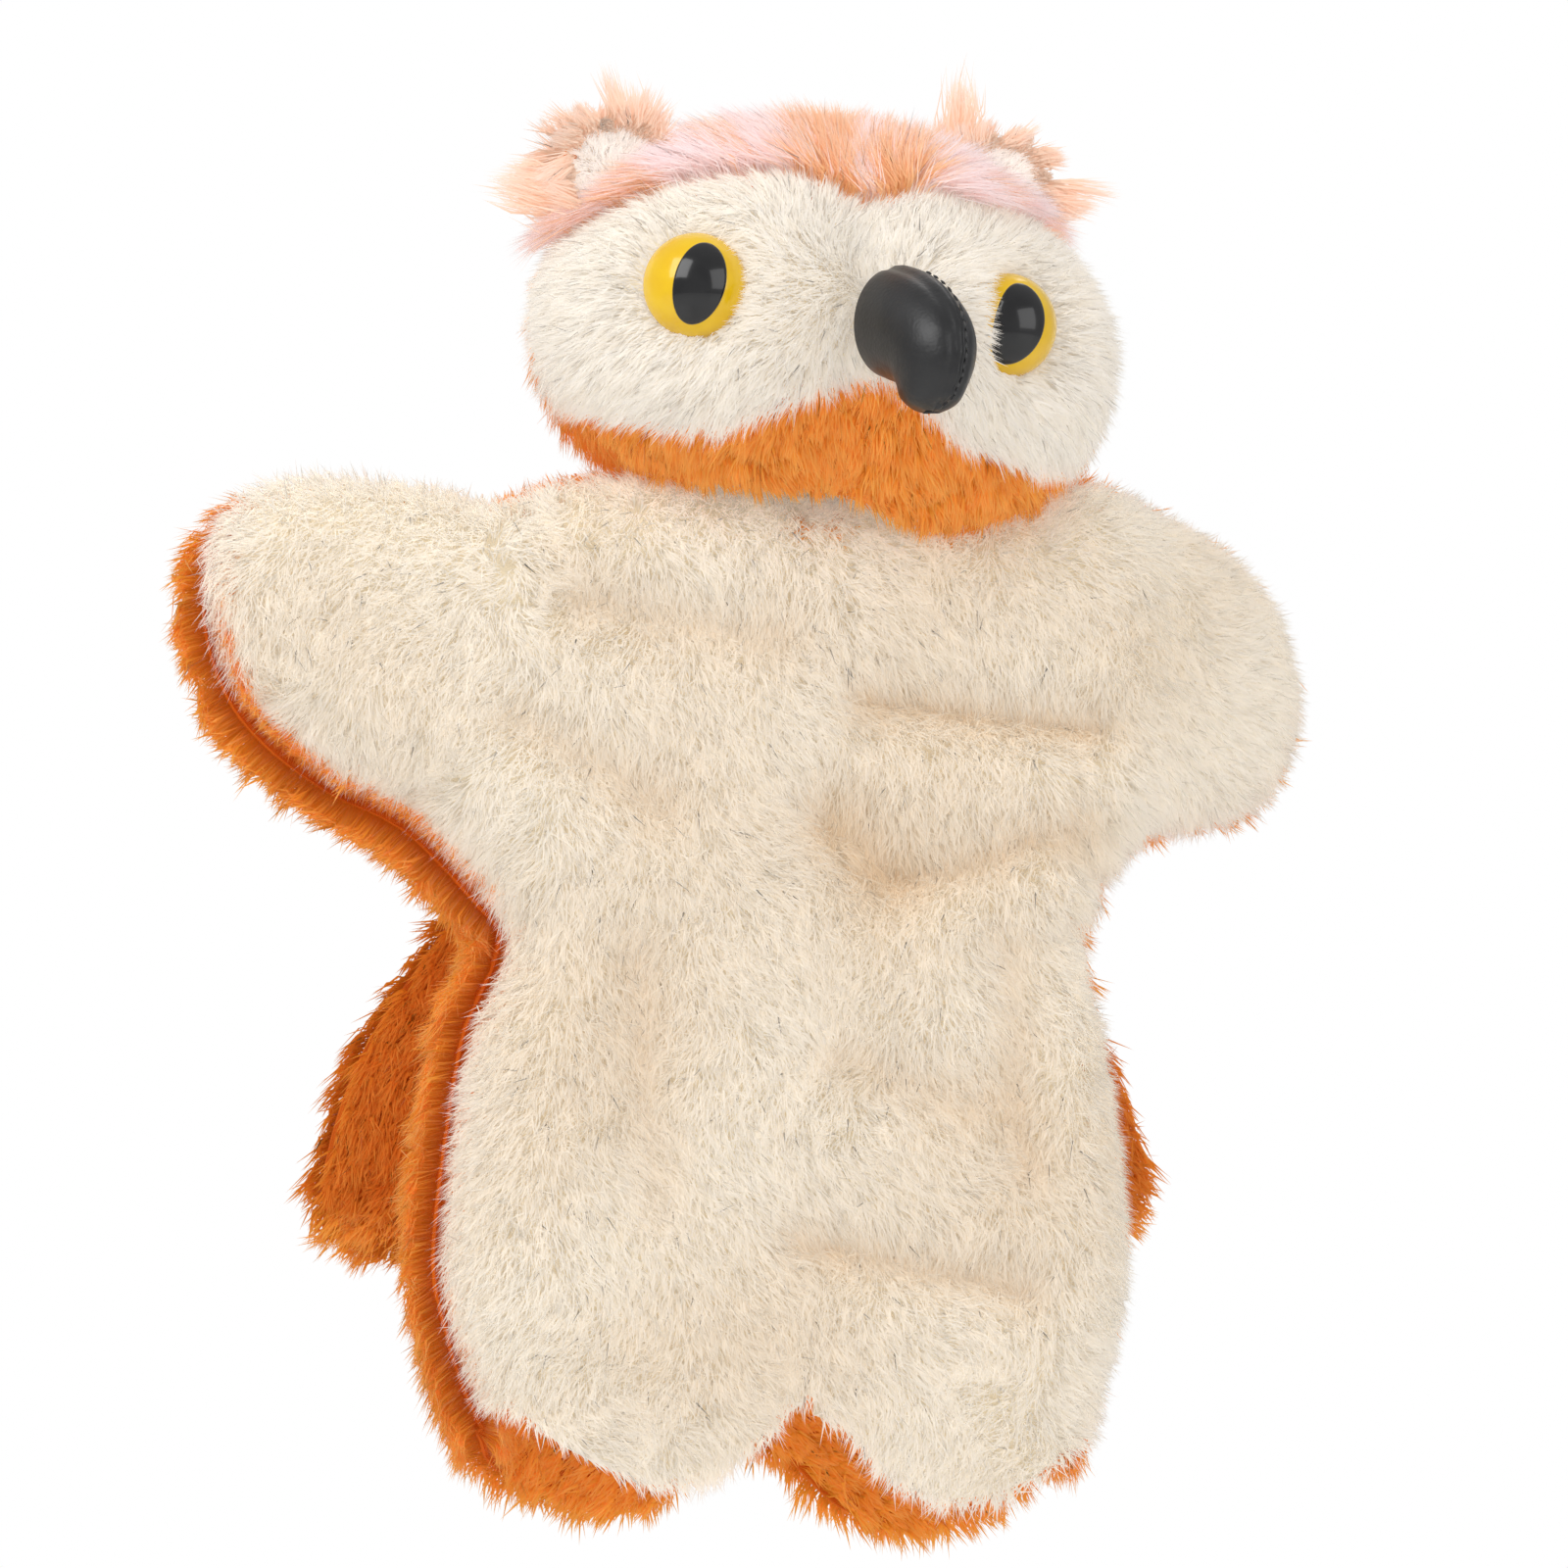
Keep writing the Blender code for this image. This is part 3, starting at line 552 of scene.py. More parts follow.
# %% Fill the pattern
def pattern_cloth(name, wing, facing, drop):
    """Half of the front or back cloth as a mesh."""
    hem, seam = half_outline(wing, drop)
    outline = np.concatenate([hem, seam[1:]])
    closed = np.concatenate([outline, outline[:1]])
    points = [outline]
    for inset in (1.2, 3.0, 5.6, 8.8):
        ring = pull_in(outline, inset)[::2]
        points.append(ring[distance_to(ring, closed) > 0.85 * inset])
    low, high = outline.min(0), outline.max(0)
    grid = [(x + (row % 2) * 2.1, z) for row, z in enumerate(np.arange(low[1], high[1], 3.7))
            for x in np.arange(0, high[0], 4.2)]
    grid = np.array(grid)
    points.append(grid[distance_to(grid, closed) > 11])
    middle = np.arange(outline[0][1] + 4, outline[-1][1] - 2, 4.0)
    points.append(np.stack([np.zeros(len(middle)), middle], 1))
    flat = np.concatenate(points)
    edges = [(k, (k + 1) % len(outline)) for k in range(len(outline))]
    filled = geometry.delaunay_2d_cdt([Vector(p) for p in flat], edges, [], 1, 1e-4)
    placed = np.array([tuple(v) for v in filled[0]])
    x = placed[:, 0] * wing["side"]
    y = cloth_depth(x, placed[:, 1], distance_to(placed, seam), wing, facing)
    mesh = bpy.data.meshes.new(name)
    mesh.from_pydata(np.stack([x, y, placed[:, 1]], 1) * MM, [], filled[2])
    mesh.update()
    want = sum(face.normal.y * face.area for face in mesh.polygons) * facing
    if want < 0:
        mesh.flip_normals()
    mesh.shade_smooth()
    cloth = bpy.data.objects.new(name, mesh)
    bpy.context.scene.collection.objects.link(cloth)
    return cloth


# %% [markdown]
# ## Backing cloth
# Plush is knitted, so where the hairs part we see rows of small loops. The finish is the colour of the
# hair roots, with a fine ribbed bump.

# %% Backing finishes
def knitted(pale, dark, ribs=900):
    """Wires for a knitted backing, which also glows faintly in its own colour: a painted glow that lifts the shade
    between the hairs.
    """
    def wires(wire):
        place = wire.make("ShaderNodeTexCoord", {}, {}, 3)
        cloudy = wire.make("ShaderNodeTexNoise", {}, {"Vector": place, "Scale": 45.0, "Detail": 3.0})
        colour = wire.make("ShaderNodeValToRGB", {"stops": ((0.35, dark), (0.65, pale))}, {"Fac": cloudy})
        rows = wire.make("ShaderNodeTexWave", {"bands_direction": "Z"},
                         {"Vector": place, "Scale": float(ribs), "Distortion": 1.5}, 1)
        bump = wire.make("ShaderNodeBump", {}, {"Height": rows, "Strength": 0.35, "Distance": 0.0004})
        return {"Base Color": colour, "Emission Color": colour, "Normal": bump}
    return wires


# Emission Strength sets the backing's painted glow.
BACKING = {"Roughness": 0.95, "Specular IOR Level": 0.15, "Emission Strength": 0.2}
cream_backing = finish("cream_backing", BACKING, knitted((0.90, 0.82, 0.66), (0.84, 0.74, 0.57)))
orange_backing = finish("orange_backing", BACKING, knitted((0.62, 0.12, 0.008), (0.46, 0.07, 0.004)))
frosted_backing = finish("frosted_backing", BACKING, knitted((0.78, 0.30, 0.10), (0.66, 0.20, 0.05)))
white_backing = finish("white_backing", BACKING, knitted((0.84, 0.76, 0.70), (0.76, 0.67, 0.60)))


def thicken(cloth, material, thickness=1.2):
    """Give a cloth its backing's thickness, towards its inner side."""
    cloth.data.materials.append(material)
    solid = cloth.modifiers.new("backing", "SOLIDIFY")
    solid.thickness = thickness * MM
    solid.offset = -1


# %% Painted shade in the folds
def painted_fold_shade(roots, lightness, rng):
    """Painted shade: hairs rooted in a fold are darker and warmer, for the shade deep in the fold; a slow cloudiness
    varies the tone.
    """
    deep = fold_depth(roots[:, 0] / MM, roots[:, 2] / MM, FRONT_FOLDS)
    cloudy = swirl(roots, 26.0, 15.0)[:, 0]
    return 0.86 + 0.10 * (lightness - 0.5) - deep / 11 + 0.30 * cloudy


# %% Grow the body and wings
FRONT_HAIR = {"per_mm2": 5.4, "length": 8.5, "width": 0.32, "lean": 0.6, "wild": 0.38,
              "locks": 0.10, "pull": 0.35, "droop": 0.10}
BACK_HAIR = {"per_mm2": 3.8, "length": 10.0, "width": 0.48, "lean": 0.8, "wild": 0.42,
             "locks": 0.05, "pull": 0.6, "uneven": 0.5, "droop": 0.12}


def body_brush(places):
    """Pile brushed down the body and out along the wings."""
    out = np.clip((np.abs(places[:, 0]) / MM - 45) / 30, 0, 1) * (places[:, 2] > 0.13)
    way = np.stack([np.sign(places[:, 0]) * out * 0.9, np.zeros(len(places)), -1 + 0.4 * out], 1)
    return way + 1.3 * swirl(places, 38.0, 3.0) + 0.9 * swirl(places, 110.0, 9.0)


def join_to_wing(piece):
    """Bakes the piece's placement into its mesh."""
    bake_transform(piece)


def turned_hem(name, cloth, wing):
    """The strip of the back's plush that is turned inwards at its edges, pile facing forwards."""
    strip = cloth.copy()
    strip.data = cloth.data.copy()
    strip.name = strip.data.name = name
    bpy.context.scene.collection.objects.link(strip)
    hem, seam = half_outline(wing, BACK_DROP)
    body = bmesh.new()
    body.from_mesh(strip.data)
    middles = np.array([(abs(f.calc_center_median().x) / MM, f.calc_center_median().z / MM) for f in body.faces])
    far = (distance_to(middles, hem) > 15) & (distance_to(middles, seam) > 20)
    bmesh.ops.delete(body, geom=[f for f, gone in zip(list(body.faces), far) if gone], context="FACES")
    for corner in body.verts:
        corner.co.y -= 2.0 * MM
    bmesh.ops.reverse_faces(body, faces=body.faces)
    body.to_mesh(strip.data)
    body.free()
    return strip


def edge_brush(places):
    """Outwards over the edge, so the pile hides the seam."""
    return np.stack([np.sign(places[:, 0]), np.zeros(len(places)), np.full(len(places), -0.6)], 1) \
        + 0.6 * swirl(places, 60.0, 4.0)


BACK_DROP = 7.0
for name, wing in WINGS.items():
    for facing, face, hair, material, drop, stuff, seed in (
            (-1, "front", FRONT_HAIR, cream_plush, 0.0, "cream", 11),
            (1, "back", BACK_HAIR, orange_plush, BACK_DROP, "orange", 12)):
        cloth = pattern_cloth(f"{name}_{face}_cloth", wing, facing, drop)
        fur = grow_plush(f"{name}_{face}_plush", cloth, material, brush=body_brush,
                         light=painted_fold_shade if face == "front" else None, seed=seed, **hair)
        pieces = [cloth, fur]
        if face == "back":
            hem_strip = turned_hem(f"{name}_hem_cloth", cloth, wing)
            pieces += [hem_strip, grow_plush(f"{name}_hem_plush", hem_strip, material, brush=edge_brush,
                                             seed=14, **{**BACK_HAIR, "length": 9.0, "lean": 1.1})]
            hem_strip.data.materials.append(orange_backing)
        thicken(cloth, cream_backing if stuff == "cream" else orange_backing)
        for piece in pieces:
            join_to_wing(piece)
            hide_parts(f"{face}_body_panel", f"{name}_wing_{face}")

# %% [markdown]
# ## The head
# The head is a stuffed ball, wider than it is tall, sewn from cream cheeks, an orange chin band, a crown
# of long frosted pile and an orange back. One formula gives its squarish oval; each skin is the part of
# it between two wavy edges, so neighbouring skins share an edge and no gap shows.

# %% Shape of the head
HEAD_CENTRE = Vector((3, -10, 243)) * MM
HEAD_ROLL = math.radians(6.5)
HEAD_HALF = Vector((60, 37, 42)) * MM
HEAD_POWER = 0.86
head_axes = Matrix.Translation(HEAD_CENTRE) @ Matrix.Rotation(HEAD_ROLL, 4, "Y")


def rounded(value):
    return math.copysign(abs(value) ** HEAD_POWER, value)


HEAD_SLOPES = {-1: 0.34, 1: 0.12}


def head_place(lon, lat, inset=PILE + 2.5):
    """Point under the pile: longitude 0 is the front, and the cheeks swell beside the middle seam."""
    a, b = math.radians(lon), math.radians(lat)
    ring = rounded(math.cos(b))
    cheek = 2.5 * math.exp(-((abs(lon) - 38) / 24) ** 2) * math.exp(-((lat + 12) / 24) ** 2)
    seam = 2.6 * math.exp(-(lon / 9) ** 2) * math.exp(-((lat - 20) / 40) ** 2)
    bulge = 5.0 * math.exp(-((lon - 17) / 8) ** 2) * math.exp(-((lat - 4) / 15) ** 2)
    fuller = 4.0 * max(math.sin(a), 0.0) ** 2 * math.exp(-(max(lat, 0) / 25) ** 2)
    grow = (cheek + bulge + fuller - seam - inset) * MM
    share = ring * rounded(math.sin(a))
    if b > 0:
        slope = 1 - HEAD_SLOPES[-1 if share < 0 else 1] * share ** 2
    else:
        slope = 1 - (0.12 if lon < 0 or lon > 180 else 0.05) * math.sin(b) ** 2
    return head_axes @ Vector(((HEAD_HALF.x + grow) * share,
                               -(HEAD_HALF.y + grow) * ring * rounded(math.cos(a)),
                               (HEAD_HALF.z + grow) * rounded(math.sin(b)) * slope))


def brow_edge(lon):
    """Latitude where the cream face meets the crown: it dips at the middle of the brow."""
    return 48 - 8 * math.exp(-(lon / 14) ** 2) - (26 if lon < 0 else 8) * min(abs(lon) / 90, 1) ** 3


def jaw_edge(lon):
    """Latitude where the face meets the chin band: high in the middle, low under each cheek."""
    lowest, width = (-34, 22) if lon < 6 else (-28, 13)
    return lowest - (lowest + 10.5) * math.exp(-((lon - 6) / width) ** 2) + 8 * min(abs(lon) / 90, 1) ** 6


def head_skin(name, lons, low_edge, high_edge, rows=14, columns=22):
    """The part of the head between two longitudes and two edges, as one cloth."""
    mesh = bpy.data.meshes.new(name)
    body = bmesh.new()
    grid = []
    for i in range(rows + 1):
        row = []
        for j in range(columns + 1):
            lon = lons[0] + (lons[1] - lons[0]) * j / columns
            low, high = low_edge(lon), high_edge(lon)
            row.append(body.verts.new(swollen(head_place(lon, low + (high - low) * i / rows))))
        grid.append(row)
    for i in range(rows):
        for j in range(columns):
            body.faces.new((grid[i][j], grid[i][j + 1], grid[i + 1][j + 1], grid[i + 1][j]))
    bmesh.ops.remove_doubles(body, verts=body.verts, dist=1e-6)
    bmesh.ops.dissolve_degenerate(body, edges=body.edges, dist=1e-6)
    body.to_mesh(mesh)
    body.free()
    outward = sum((face.center - HEAD_CENTRE).dot(face.normal) * face.area for face in mesh.polygons)
    if outward < 0:
        mesh.flip_normals()
    mesh.shade_smooth()
    cloth = bpy.data.objects.new(name, mesh)
    bpy.context.scene.collection.objects.link(cloth)
    return cloth


# %% Where the eyes and the beak sit
EYE_TURN = math.radians(12)


def eye_axes(side, sideways, up):
    """Centre of an eye on the face: local Z looks out, local Y is up."""
    share = 1 - (sideways * MM / HEAD_HALF.x) ** (2 / HEAD_POWER) - (up * MM / HEAD_HALF.z) ** (2 / HEAD_POWER)
    depth = HEAD_HALF.y * share ** (HEAD_POWER / 2)
    turn = Matrix.Rotation(side * EYE_TURN, 4, "Z") @ Matrix.Rotation(math.radians(90), 4, "X")
    return head_axes @ Matrix.Translation((side * sideways * MM, -depth, up * MM)) @ turn


eyes = {"right": eye_axes(-1, 35.0, 4.0), "left": eye_axes(1, 33.0, 4.5)}


def clear_of_eyes(places):
    """No hair through an eye, and shorter hair right beside it."""
    share = np.ones(len(places))
    for axes in eyes.values():
        local = (np.c_[places, np.ones(len(places))] @ np.array(axes.inverted()).T)[:, :3] / MM
        away = np.hypot(local[:, 0], local[:, 1])
        share *= np.where(local[:, 2] > -20, np.clip((away - 9.0) / 4, 0, 1) ** 0.6, 1)
    return share


# %% [markdown]
# ## Stuffing the head
# Stuffing presses the cloth out between the seams, while the seams, the eyes and the beak hold it in.
# We pin a closed copy of the head along the seams and round the eyes and let Blender's cloth blow it up a little.
# The copy is made fifty times larger first, because cloth settings suit things the size of a room.
# Every skin then follows the copy, and the copy is thrown away.

# %% Rings into a skin
def ringed_mesh(name, rings, closed_end=True):
    """A skin through rings of points; the last ring is filled with a fan."""
    mesh = bpy.data.meshes.new(name)
    count = len(rings[0])
    points = [p for ring in rings for p in ring]
    faces = []
    for k in range(len(rings) - 1):
        a, b = k * count, (k + 1) * count
        faces += [(a + j, a + (j + 1) % count, b + (j + 1) % count, b + j) for j in range(count)]
    if closed_end:
        faces.append(tuple((len(rings) - 1) * count + j for j in range(count)))
    mesh.from_pydata(points, [], faces)
    mesh.update()
    mesh.shade_smooth()
    piece = bpy.data.objects.new(name, mesh)
    bpy.context.scene.collection.objects.link(piece)
    return piece


# %% Swell the cloth between its seams
SWELL_LIMIT = 3.5
SWELL_SCALE = 50
SWELL_FRAMES = 20
HOLD_WIDTH = 4.5


def held_places():
    """Places on the head that don't move: along the seams, and round the eyes."""
    places = []
    for lon in np.linspace(-106, 88, 70):
        places += [head_place(lon, jaw_edge(lon)), head_place(lon, brow_edge(lon))]
    for lat in np.linspace(-60, 85, 50):
        places += [head_place(lon, lat) for lon in (0, 88, -106)]
    for axes in eyes.values():
        places += [axes @ (Vector((9 * math.cos(t), 9 * math.sin(t), -8)) * MM) for t in np.linspace(0, 6.28, 24)]
    return places


def swell_head():
    """Places of the copy before, and how far each one moved."""
    rings = [[head_place(lon, lat) for lon in np.linspace(-180, 180, 72, endpoint=False)]
             for lat in np.linspace(-84, 84, 40)]
    copy = ringed_mesh("head_copy", rings)
    body = bmesh.new()
    body.from_mesh(copy.data)
    bmesh.ops.holes_fill(body, edges=body.edges)
    bmesh.ops.recalc_face_normals(body, faces=body.faces)
    body.to_mesh(copy.data)
    body.free()
    net = copy.modifiers.new("even_net", "REMESH")
    net.mode = "VOXEL"
    net.voxel_size = 5 * MM
    even = bpy.data.meshes.new_from_object(copy.evaluated_get(bpy.context.evaluated_depsgraph_get()))
    copy.modifiers.clear()
    even.transform(Matrix.Scale(SWELL_SCALE, 4))
    copy.data = even
    before = np.array([v.co[:] for v in even.vertices]) / SWELL_SCALE
    holds = kdtree.KDTree(len(held_places()))
    for k, place in enumerate(held_places()):
        holds.insert(place, k)
    holds.balance()
    pinned = [k for k, place in enumerate(before.tolist()) if holds.find(place)[2] < HOLD_WIDTH * MM]
    copy.vertex_groups.new(name="held").add(pinned, 1.0, "REPLACE")
    cloth = copy.modifiers.new("stuffed", "CLOTH")
    cloth.settings.use_pressure = True
    cloth.settings.uniform_pressure_force = 4.0
    cloth.settings.vertex_group_mass = "held"
    cloth.settings.effector_weights.gravity = 0.0
    for frame_number in range(1, SWELL_FRAMES + 1):
        bpy.context.scene.frame_set(frame_number)
    final = copy.evaluated_get(bpy.context.evaluated_depsgraph_get()).to_mesh()
    moves = np.array([v.co[:] for v in final.vertices]) / SWELL_SCALE - before
    bpy.data.objects.remove(copy)
    bpy.context.scene.frame_set(1)
    length = np.linalg.norm(moves, axis=1, keepdims=True)
    moves *= np.minimum(1, SWELL_LIMIT * MM / np.maximum(length, 1e-9))
    tree = kdtree.KDTree(len(before))
    for k, place in enumerate(before.tolist()):
        tree.insert(place, k)
    tree.balance()
    print("head swelled by up to", round(float(length.max()) / MM, 1), "mm, held points", len(pinned))
    return tree, moves


swell_tree, swell_moves = swell_head()


def swollen(place):
    """Where stuffing pushes a place on the head's cloth."""
    if swell_tree is None:
        return place
    near = swell_tree.find_n(place, 5)
    shares = [1 / (distance + 0.5 * MM) for _, _, distance in near]
    move = sum((share * swell_moves[k] for share, (_, k, _) in zip(shares, near)), np.zeros(3)) / sum(shares)
    return place + Vector(move)


# %% Grow the head's skins
def away_from(centre):
    """A brush that lays the pile outwards from a point, as fur round a beak lies."""
    def brush(places):
        return unit(places - np.array(centre)) + 1.0 * swirl(places, 60.0, 5.0) + [0, 0, -0.35]
    return brush


beak_root = head_axes @ Vector((3 * MM, -HEAD_HALF.y, -1 * MM))
FACE_HAIR = {"per_mm2": 7.5, "length": 9.5, "width": 0.32, "lean": 0.7, "wild": 0.28,
             "locks": 0.08, "pull": 0.5, "droop": 0.1, "trim": clear_of_eyes}
CHIN_HAIR = {"per_mm2": 6.0, "length": 8.5, "width": 0.46, "lean": 0.7, "wild": 0.3,
             "locks": 0.05, "pull": 0.6, "uneven": 0.5, "droop": 0.1}
NAPE_HAIR = {"per_mm2": 4.2, "length": 11.0, "width": 0.50, "lean": 0.8, "wild": 0.3,
             "locks": 0.06, "pull": 0.6, "droop": 0.2}
BOTTOM = -62


def bottom_edge(lon):
    return BOTTOM


def top_edge(lon):
    return 90


def down_brush(places):
    return np.array([0, 0, -1.0]) + 1.1 * swirl(places, 60.0, 7.0)


SKINS = (
    ("right_face", (-106, 0), jaw_edge, brow_edge, FACE_HAIR, away_from(beak_root), face_plush,
     cream_backing, "cream_plush", "face_right_panel"),
    ("left_face", (0, 88), jaw_edge, brow_edge, FACE_HAIR, away_from(beak_root), face_plush,
     cream_backing, "cream_plush", "face_left_panel"),
    ("right_chin", (-106, 0), bottom_edge, jaw_edge, CHIN_HAIR, down_brush, orange_plush,
     orange_backing, "orange_plush", "chin_right_panel"),
    ("left_chin", (0, 88), bottom_edge, jaw_edge, CHIN_HAIR, down_brush, orange_plush,
     orange_backing, "orange_plush", "chin_left_panel"),
    ("nape", (88, 254), bottom_edge, top_edge, NAPE_HAIR, down_brush, orange_plush,
     orange_backing, "orange_plush", "head_back_panel"),
)


def ride_head(piece, slot_name, *nodes):
    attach(piece, "head")
    if nodes:
        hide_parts(*nodes)


for k, (name, lons, low_edge, high_edge, hair, brush, plush, cloth_finish, slot_name, node) in enumerate(SKINS):
    skin = head_skin(f"{name}_cloth", lons, low_edge, high_edge)
    fur = grow_plush(f"{name}_plush", skin, plush, brush=brush, seed=31 + k, **hair)
    skin.data.materials.append(cloth_finish)
    ride_head(skin, slot_name, node)
    ride_head(fur, slot_name, node)

# %% [markdown]
# ## The crown
# The crown is another plush: long, orange at the root in stripes, and frosted pinkish white at the tip.
# It is brushed back over the head and stands up a little at its front edge.

# %% Grow the crown
CROWN_HAIR = {"per_mm2": 11.0, "length": 17.0, "width": 0.28, "lean": 0.85, "wild": 0.2,
              "locks": 0.04, "pull": 0.6, "droop": 0.1}


def crown_brush(places):
    """Out to both sides from the middle and back."""
    side = (places[:, 0] - HEAD_CENTRE.x) / HEAD_HALF.x
    return np.stack([side * 1.3, 0.5 + 0 * side, 0.2 - 0.9 * np.abs(side)], 1) + 0.7 * swirl(places, 50.0, 2.0)


def frost_stripes(roots, lightness, rng):
    """Frosted all over, with soft orange stripes at the middle and beside the ears."""
    across = (roots[:, 0] - HEAD_CENTRE.x) / MM
    wave = 0.5 + 0.5 * np.sin(across * 0.42 + 2.2 * swirl(roots, 45.0, 4.0)[:, 0])
    warm = np.exp(-((across - 2) / 15) ** 2) + 0.7 * np.exp(-((across + 40) / 9) ** 2)
    return np.clip(0.62 + 0.22 * wave - 0.34 * warm + 0.5 * (lightness - 0.5), 0, 1)


wad_rings = [[head_place(360 * j / 40, lat, 13) for j in range(40)] for lat in np.linspace(-60, 88, 20)]
crown = head_skin("crown_cloth", (-106, 90), brow_edge, top_edge, rows=10, columns=30)
crown_fur = grow_plush("crown_plush", crown, frosted_plush, brush=crown_brush, light=frost_stripes,
                       seed=41, **CROWN_HAIR)
crown.data.materials.append(frosted_backing)
for piece in (crown, crown_fur):
    ride_head(piece, "frosted_plush", "crown_panel")

# %% [markdown]
# ## The eyes
# Toy eyes are moulded plastic: a glossy yellow dome with a black oval pupil on top. A dome is one
# profile turned about its axis, and the pupil is an oval patch laid just above the same sphere.

# %% Eye finishes
def faint_mottle(pale, dark, scale):
    """Wires for a moulded or rubbed surface whose colour and gloss wander a little."""
    def wires(wire):
        place = wire.make("ShaderNodeTexCoord", {}, {}, 3)
        cloudy = wire.make("ShaderNodeTexNoise", {}, {"Vector": place, "Scale": scale, "Detail": 2.0})
        colour = wire.make("ShaderNodeValToRGB", {"stops": ((0.3, dark), (0.7, pale))}, {"Fac": cloudy})
        return {"Base Color": colour, "Roughness": 0.14 + 0.1 * cloudy}
    return wires


GLOSS = {"Coat Weight": 0.45, "Coat Roughness": 0.05, "Specular IOR Level": 0.35}
yellow_dome = finish("yellow_dome", GLOSS, faint_mottle((0.88, 0.56, 0.006), (0.83, 0.49, 0.004), 160.0))
black_pupil = finish("black_pupil", GLOSS, faint_mottle((0.012, 0.012, 0.013), (0.006, 0.006, 0.007), 200.0))

# %% Turn the domes and lay the pupils
DOME_RADIUS, DOME_RISE, DOME_SUNK = 10.5, 8.5, 5.5
BALL_RADIUS = (DOME_RADIUS ** 2 + DOME_RISE ** 2) / (2 * DOME_RISE)
BALL_CENTRE = DOME_RISE - DOME_SUNK - BALL_RADIUS
PUPIL_WIDE, PUPIL_TALL = 5.2, 8.4


def on_ball(across, up, lift):
    """Place on the eye's ball, seen from in front."""
    radius = BALL_RADIUS + lift
    return (across, up, BALL_CENTRE + math.sqrt(max(radius ** 2 - across ** 2 - up ** 2, 0)))


for name, axes in eyes.items():
    side = -1 if name == "right" else 1
    rings = [[(DOME_RADIUS * math.cos(t), DOME_RADIUS * math.sin(t), -DOME_SUNK - 0.9)
              for t in np.linspace(0, 2 * math.pi, 64, endpoint=False)]]
    for share in np.linspace(1.0, 0.02, 26):
        radius = DOME_RADIUS * math.sin(share * math.pi / 2)
        rings.append([on_ball(radius * math.cos(t), radius * math.sin(t), 0)
                      for t in np.linspace(0, 2 * math.pi, 64, endpoint=False)])
    dome = ringed_mesh(f"{name}_dome", [[axes @ (Vector(p) * MM) for p in ring] for ring in rings])
    dome.data.materials.append(yellow_dome)
    ride_head(dome, "yellow_dome", f"{name}_eye_dome")
    lean, shift = math.radians(8), -1.8 if side > 0 else 0.0
    rings = []
    for share, lift in ((1.0, -0.1), (0.985, 0.10), (0.95, 0.16), *((s, 0.18) for s in np.linspace(0.88, 0.04, 12))):
        ring = []
        for t in np.linspace(0, 2 * math.pi, 64, endpoint=False):
            x, y = PUPIL_WIDE * share * math.cos(t), PUPIL_TALL * share * math.sin(t)
            ring.append(on_ball(shift + x * math.cos(lean) + y * math.sin(lean), y * math.cos(lean) - x * math.sin(lean), lift))
        rings.append([axes @ (Vector(p) * MM) for p in ring])
    pupil = ringed_mesh(f"{name}_pupil", rings)
    pupil.data.materials.append(black_pupil)
    ride_head(pupil, "black_pupil", f"{name}_eye_pupil")
print("eyes", [tuple(round(v * 1000) for v in axes.translation) for axes in eyes.values()])

# %% [markdown]
# ## The beak
# The beak is two cuts of leatherette sewn along the ridge, turned and stuffed. The seam pinches the
# ridge, and near the tip the leather puckers between stitches. Sections along a curved path carry
# the shape; small waves that grow towards the tip carry the puckers.

# %% Leatherette
def leather_grain(wire):
    """Fine pebbled grain with rubbed, greyer patches."""
    place = wire.make("ShaderNodeTexCoord", {}, {}, 3)
    pebbles = wire.make("ShaderNodeTexVoronoi", {"feature": "SMOOTH_F1"}, {"Vector": place, "Scale": 1500.0})
    cloudy = wire.make("ShaderNodeTexNoise", {}, {"Vector": place, "Scale": 90.0, "Detail": 4.0})
    colour = wire.make("ShaderNodeValToRGB", {"stops": ((0.3, (0.010, 0.010, 0.011)), (0.75, (0.019, 0.019, 0.020)))},
                       {"Fac": cloudy})
    bump = wire.make("ShaderNodeBump", {}, {"Height": pebbles, "Strength": 0.25, "Distance": 0.0002})
    return {"Base Color": colour, "Roughness": 0.34 + 0.14 * cloudy, "Normal": bump}


def twisted_thread(wire):
    """Plies of a thread."""
    place = wire.make("ShaderNodeTexCoord", {}, {}, 3)
    plies = wire.make("ShaderNodeTexWave", {}, {"Vector": place, "Scale": 1800.0, "Distortion": 1.0}, 1)
    colour = wire.make("ShaderNodeValToRGB", {"stops": ((0.2, (0.010, 0.010, 0.011)), (0.9, (0.045, 0.045, 0.048)))},
                       {"Fac": plies})
    return {"Base Color": colour}


leatherette = finish("leatherette", {"Specular IOR Level": 0.45, "Coat Weight": 0.12, "Coat Roughness": 0.3}, leather_grain)
sewing_thread = finish("sewing_thread", {"Roughness": 0.7}, twisted_thread)

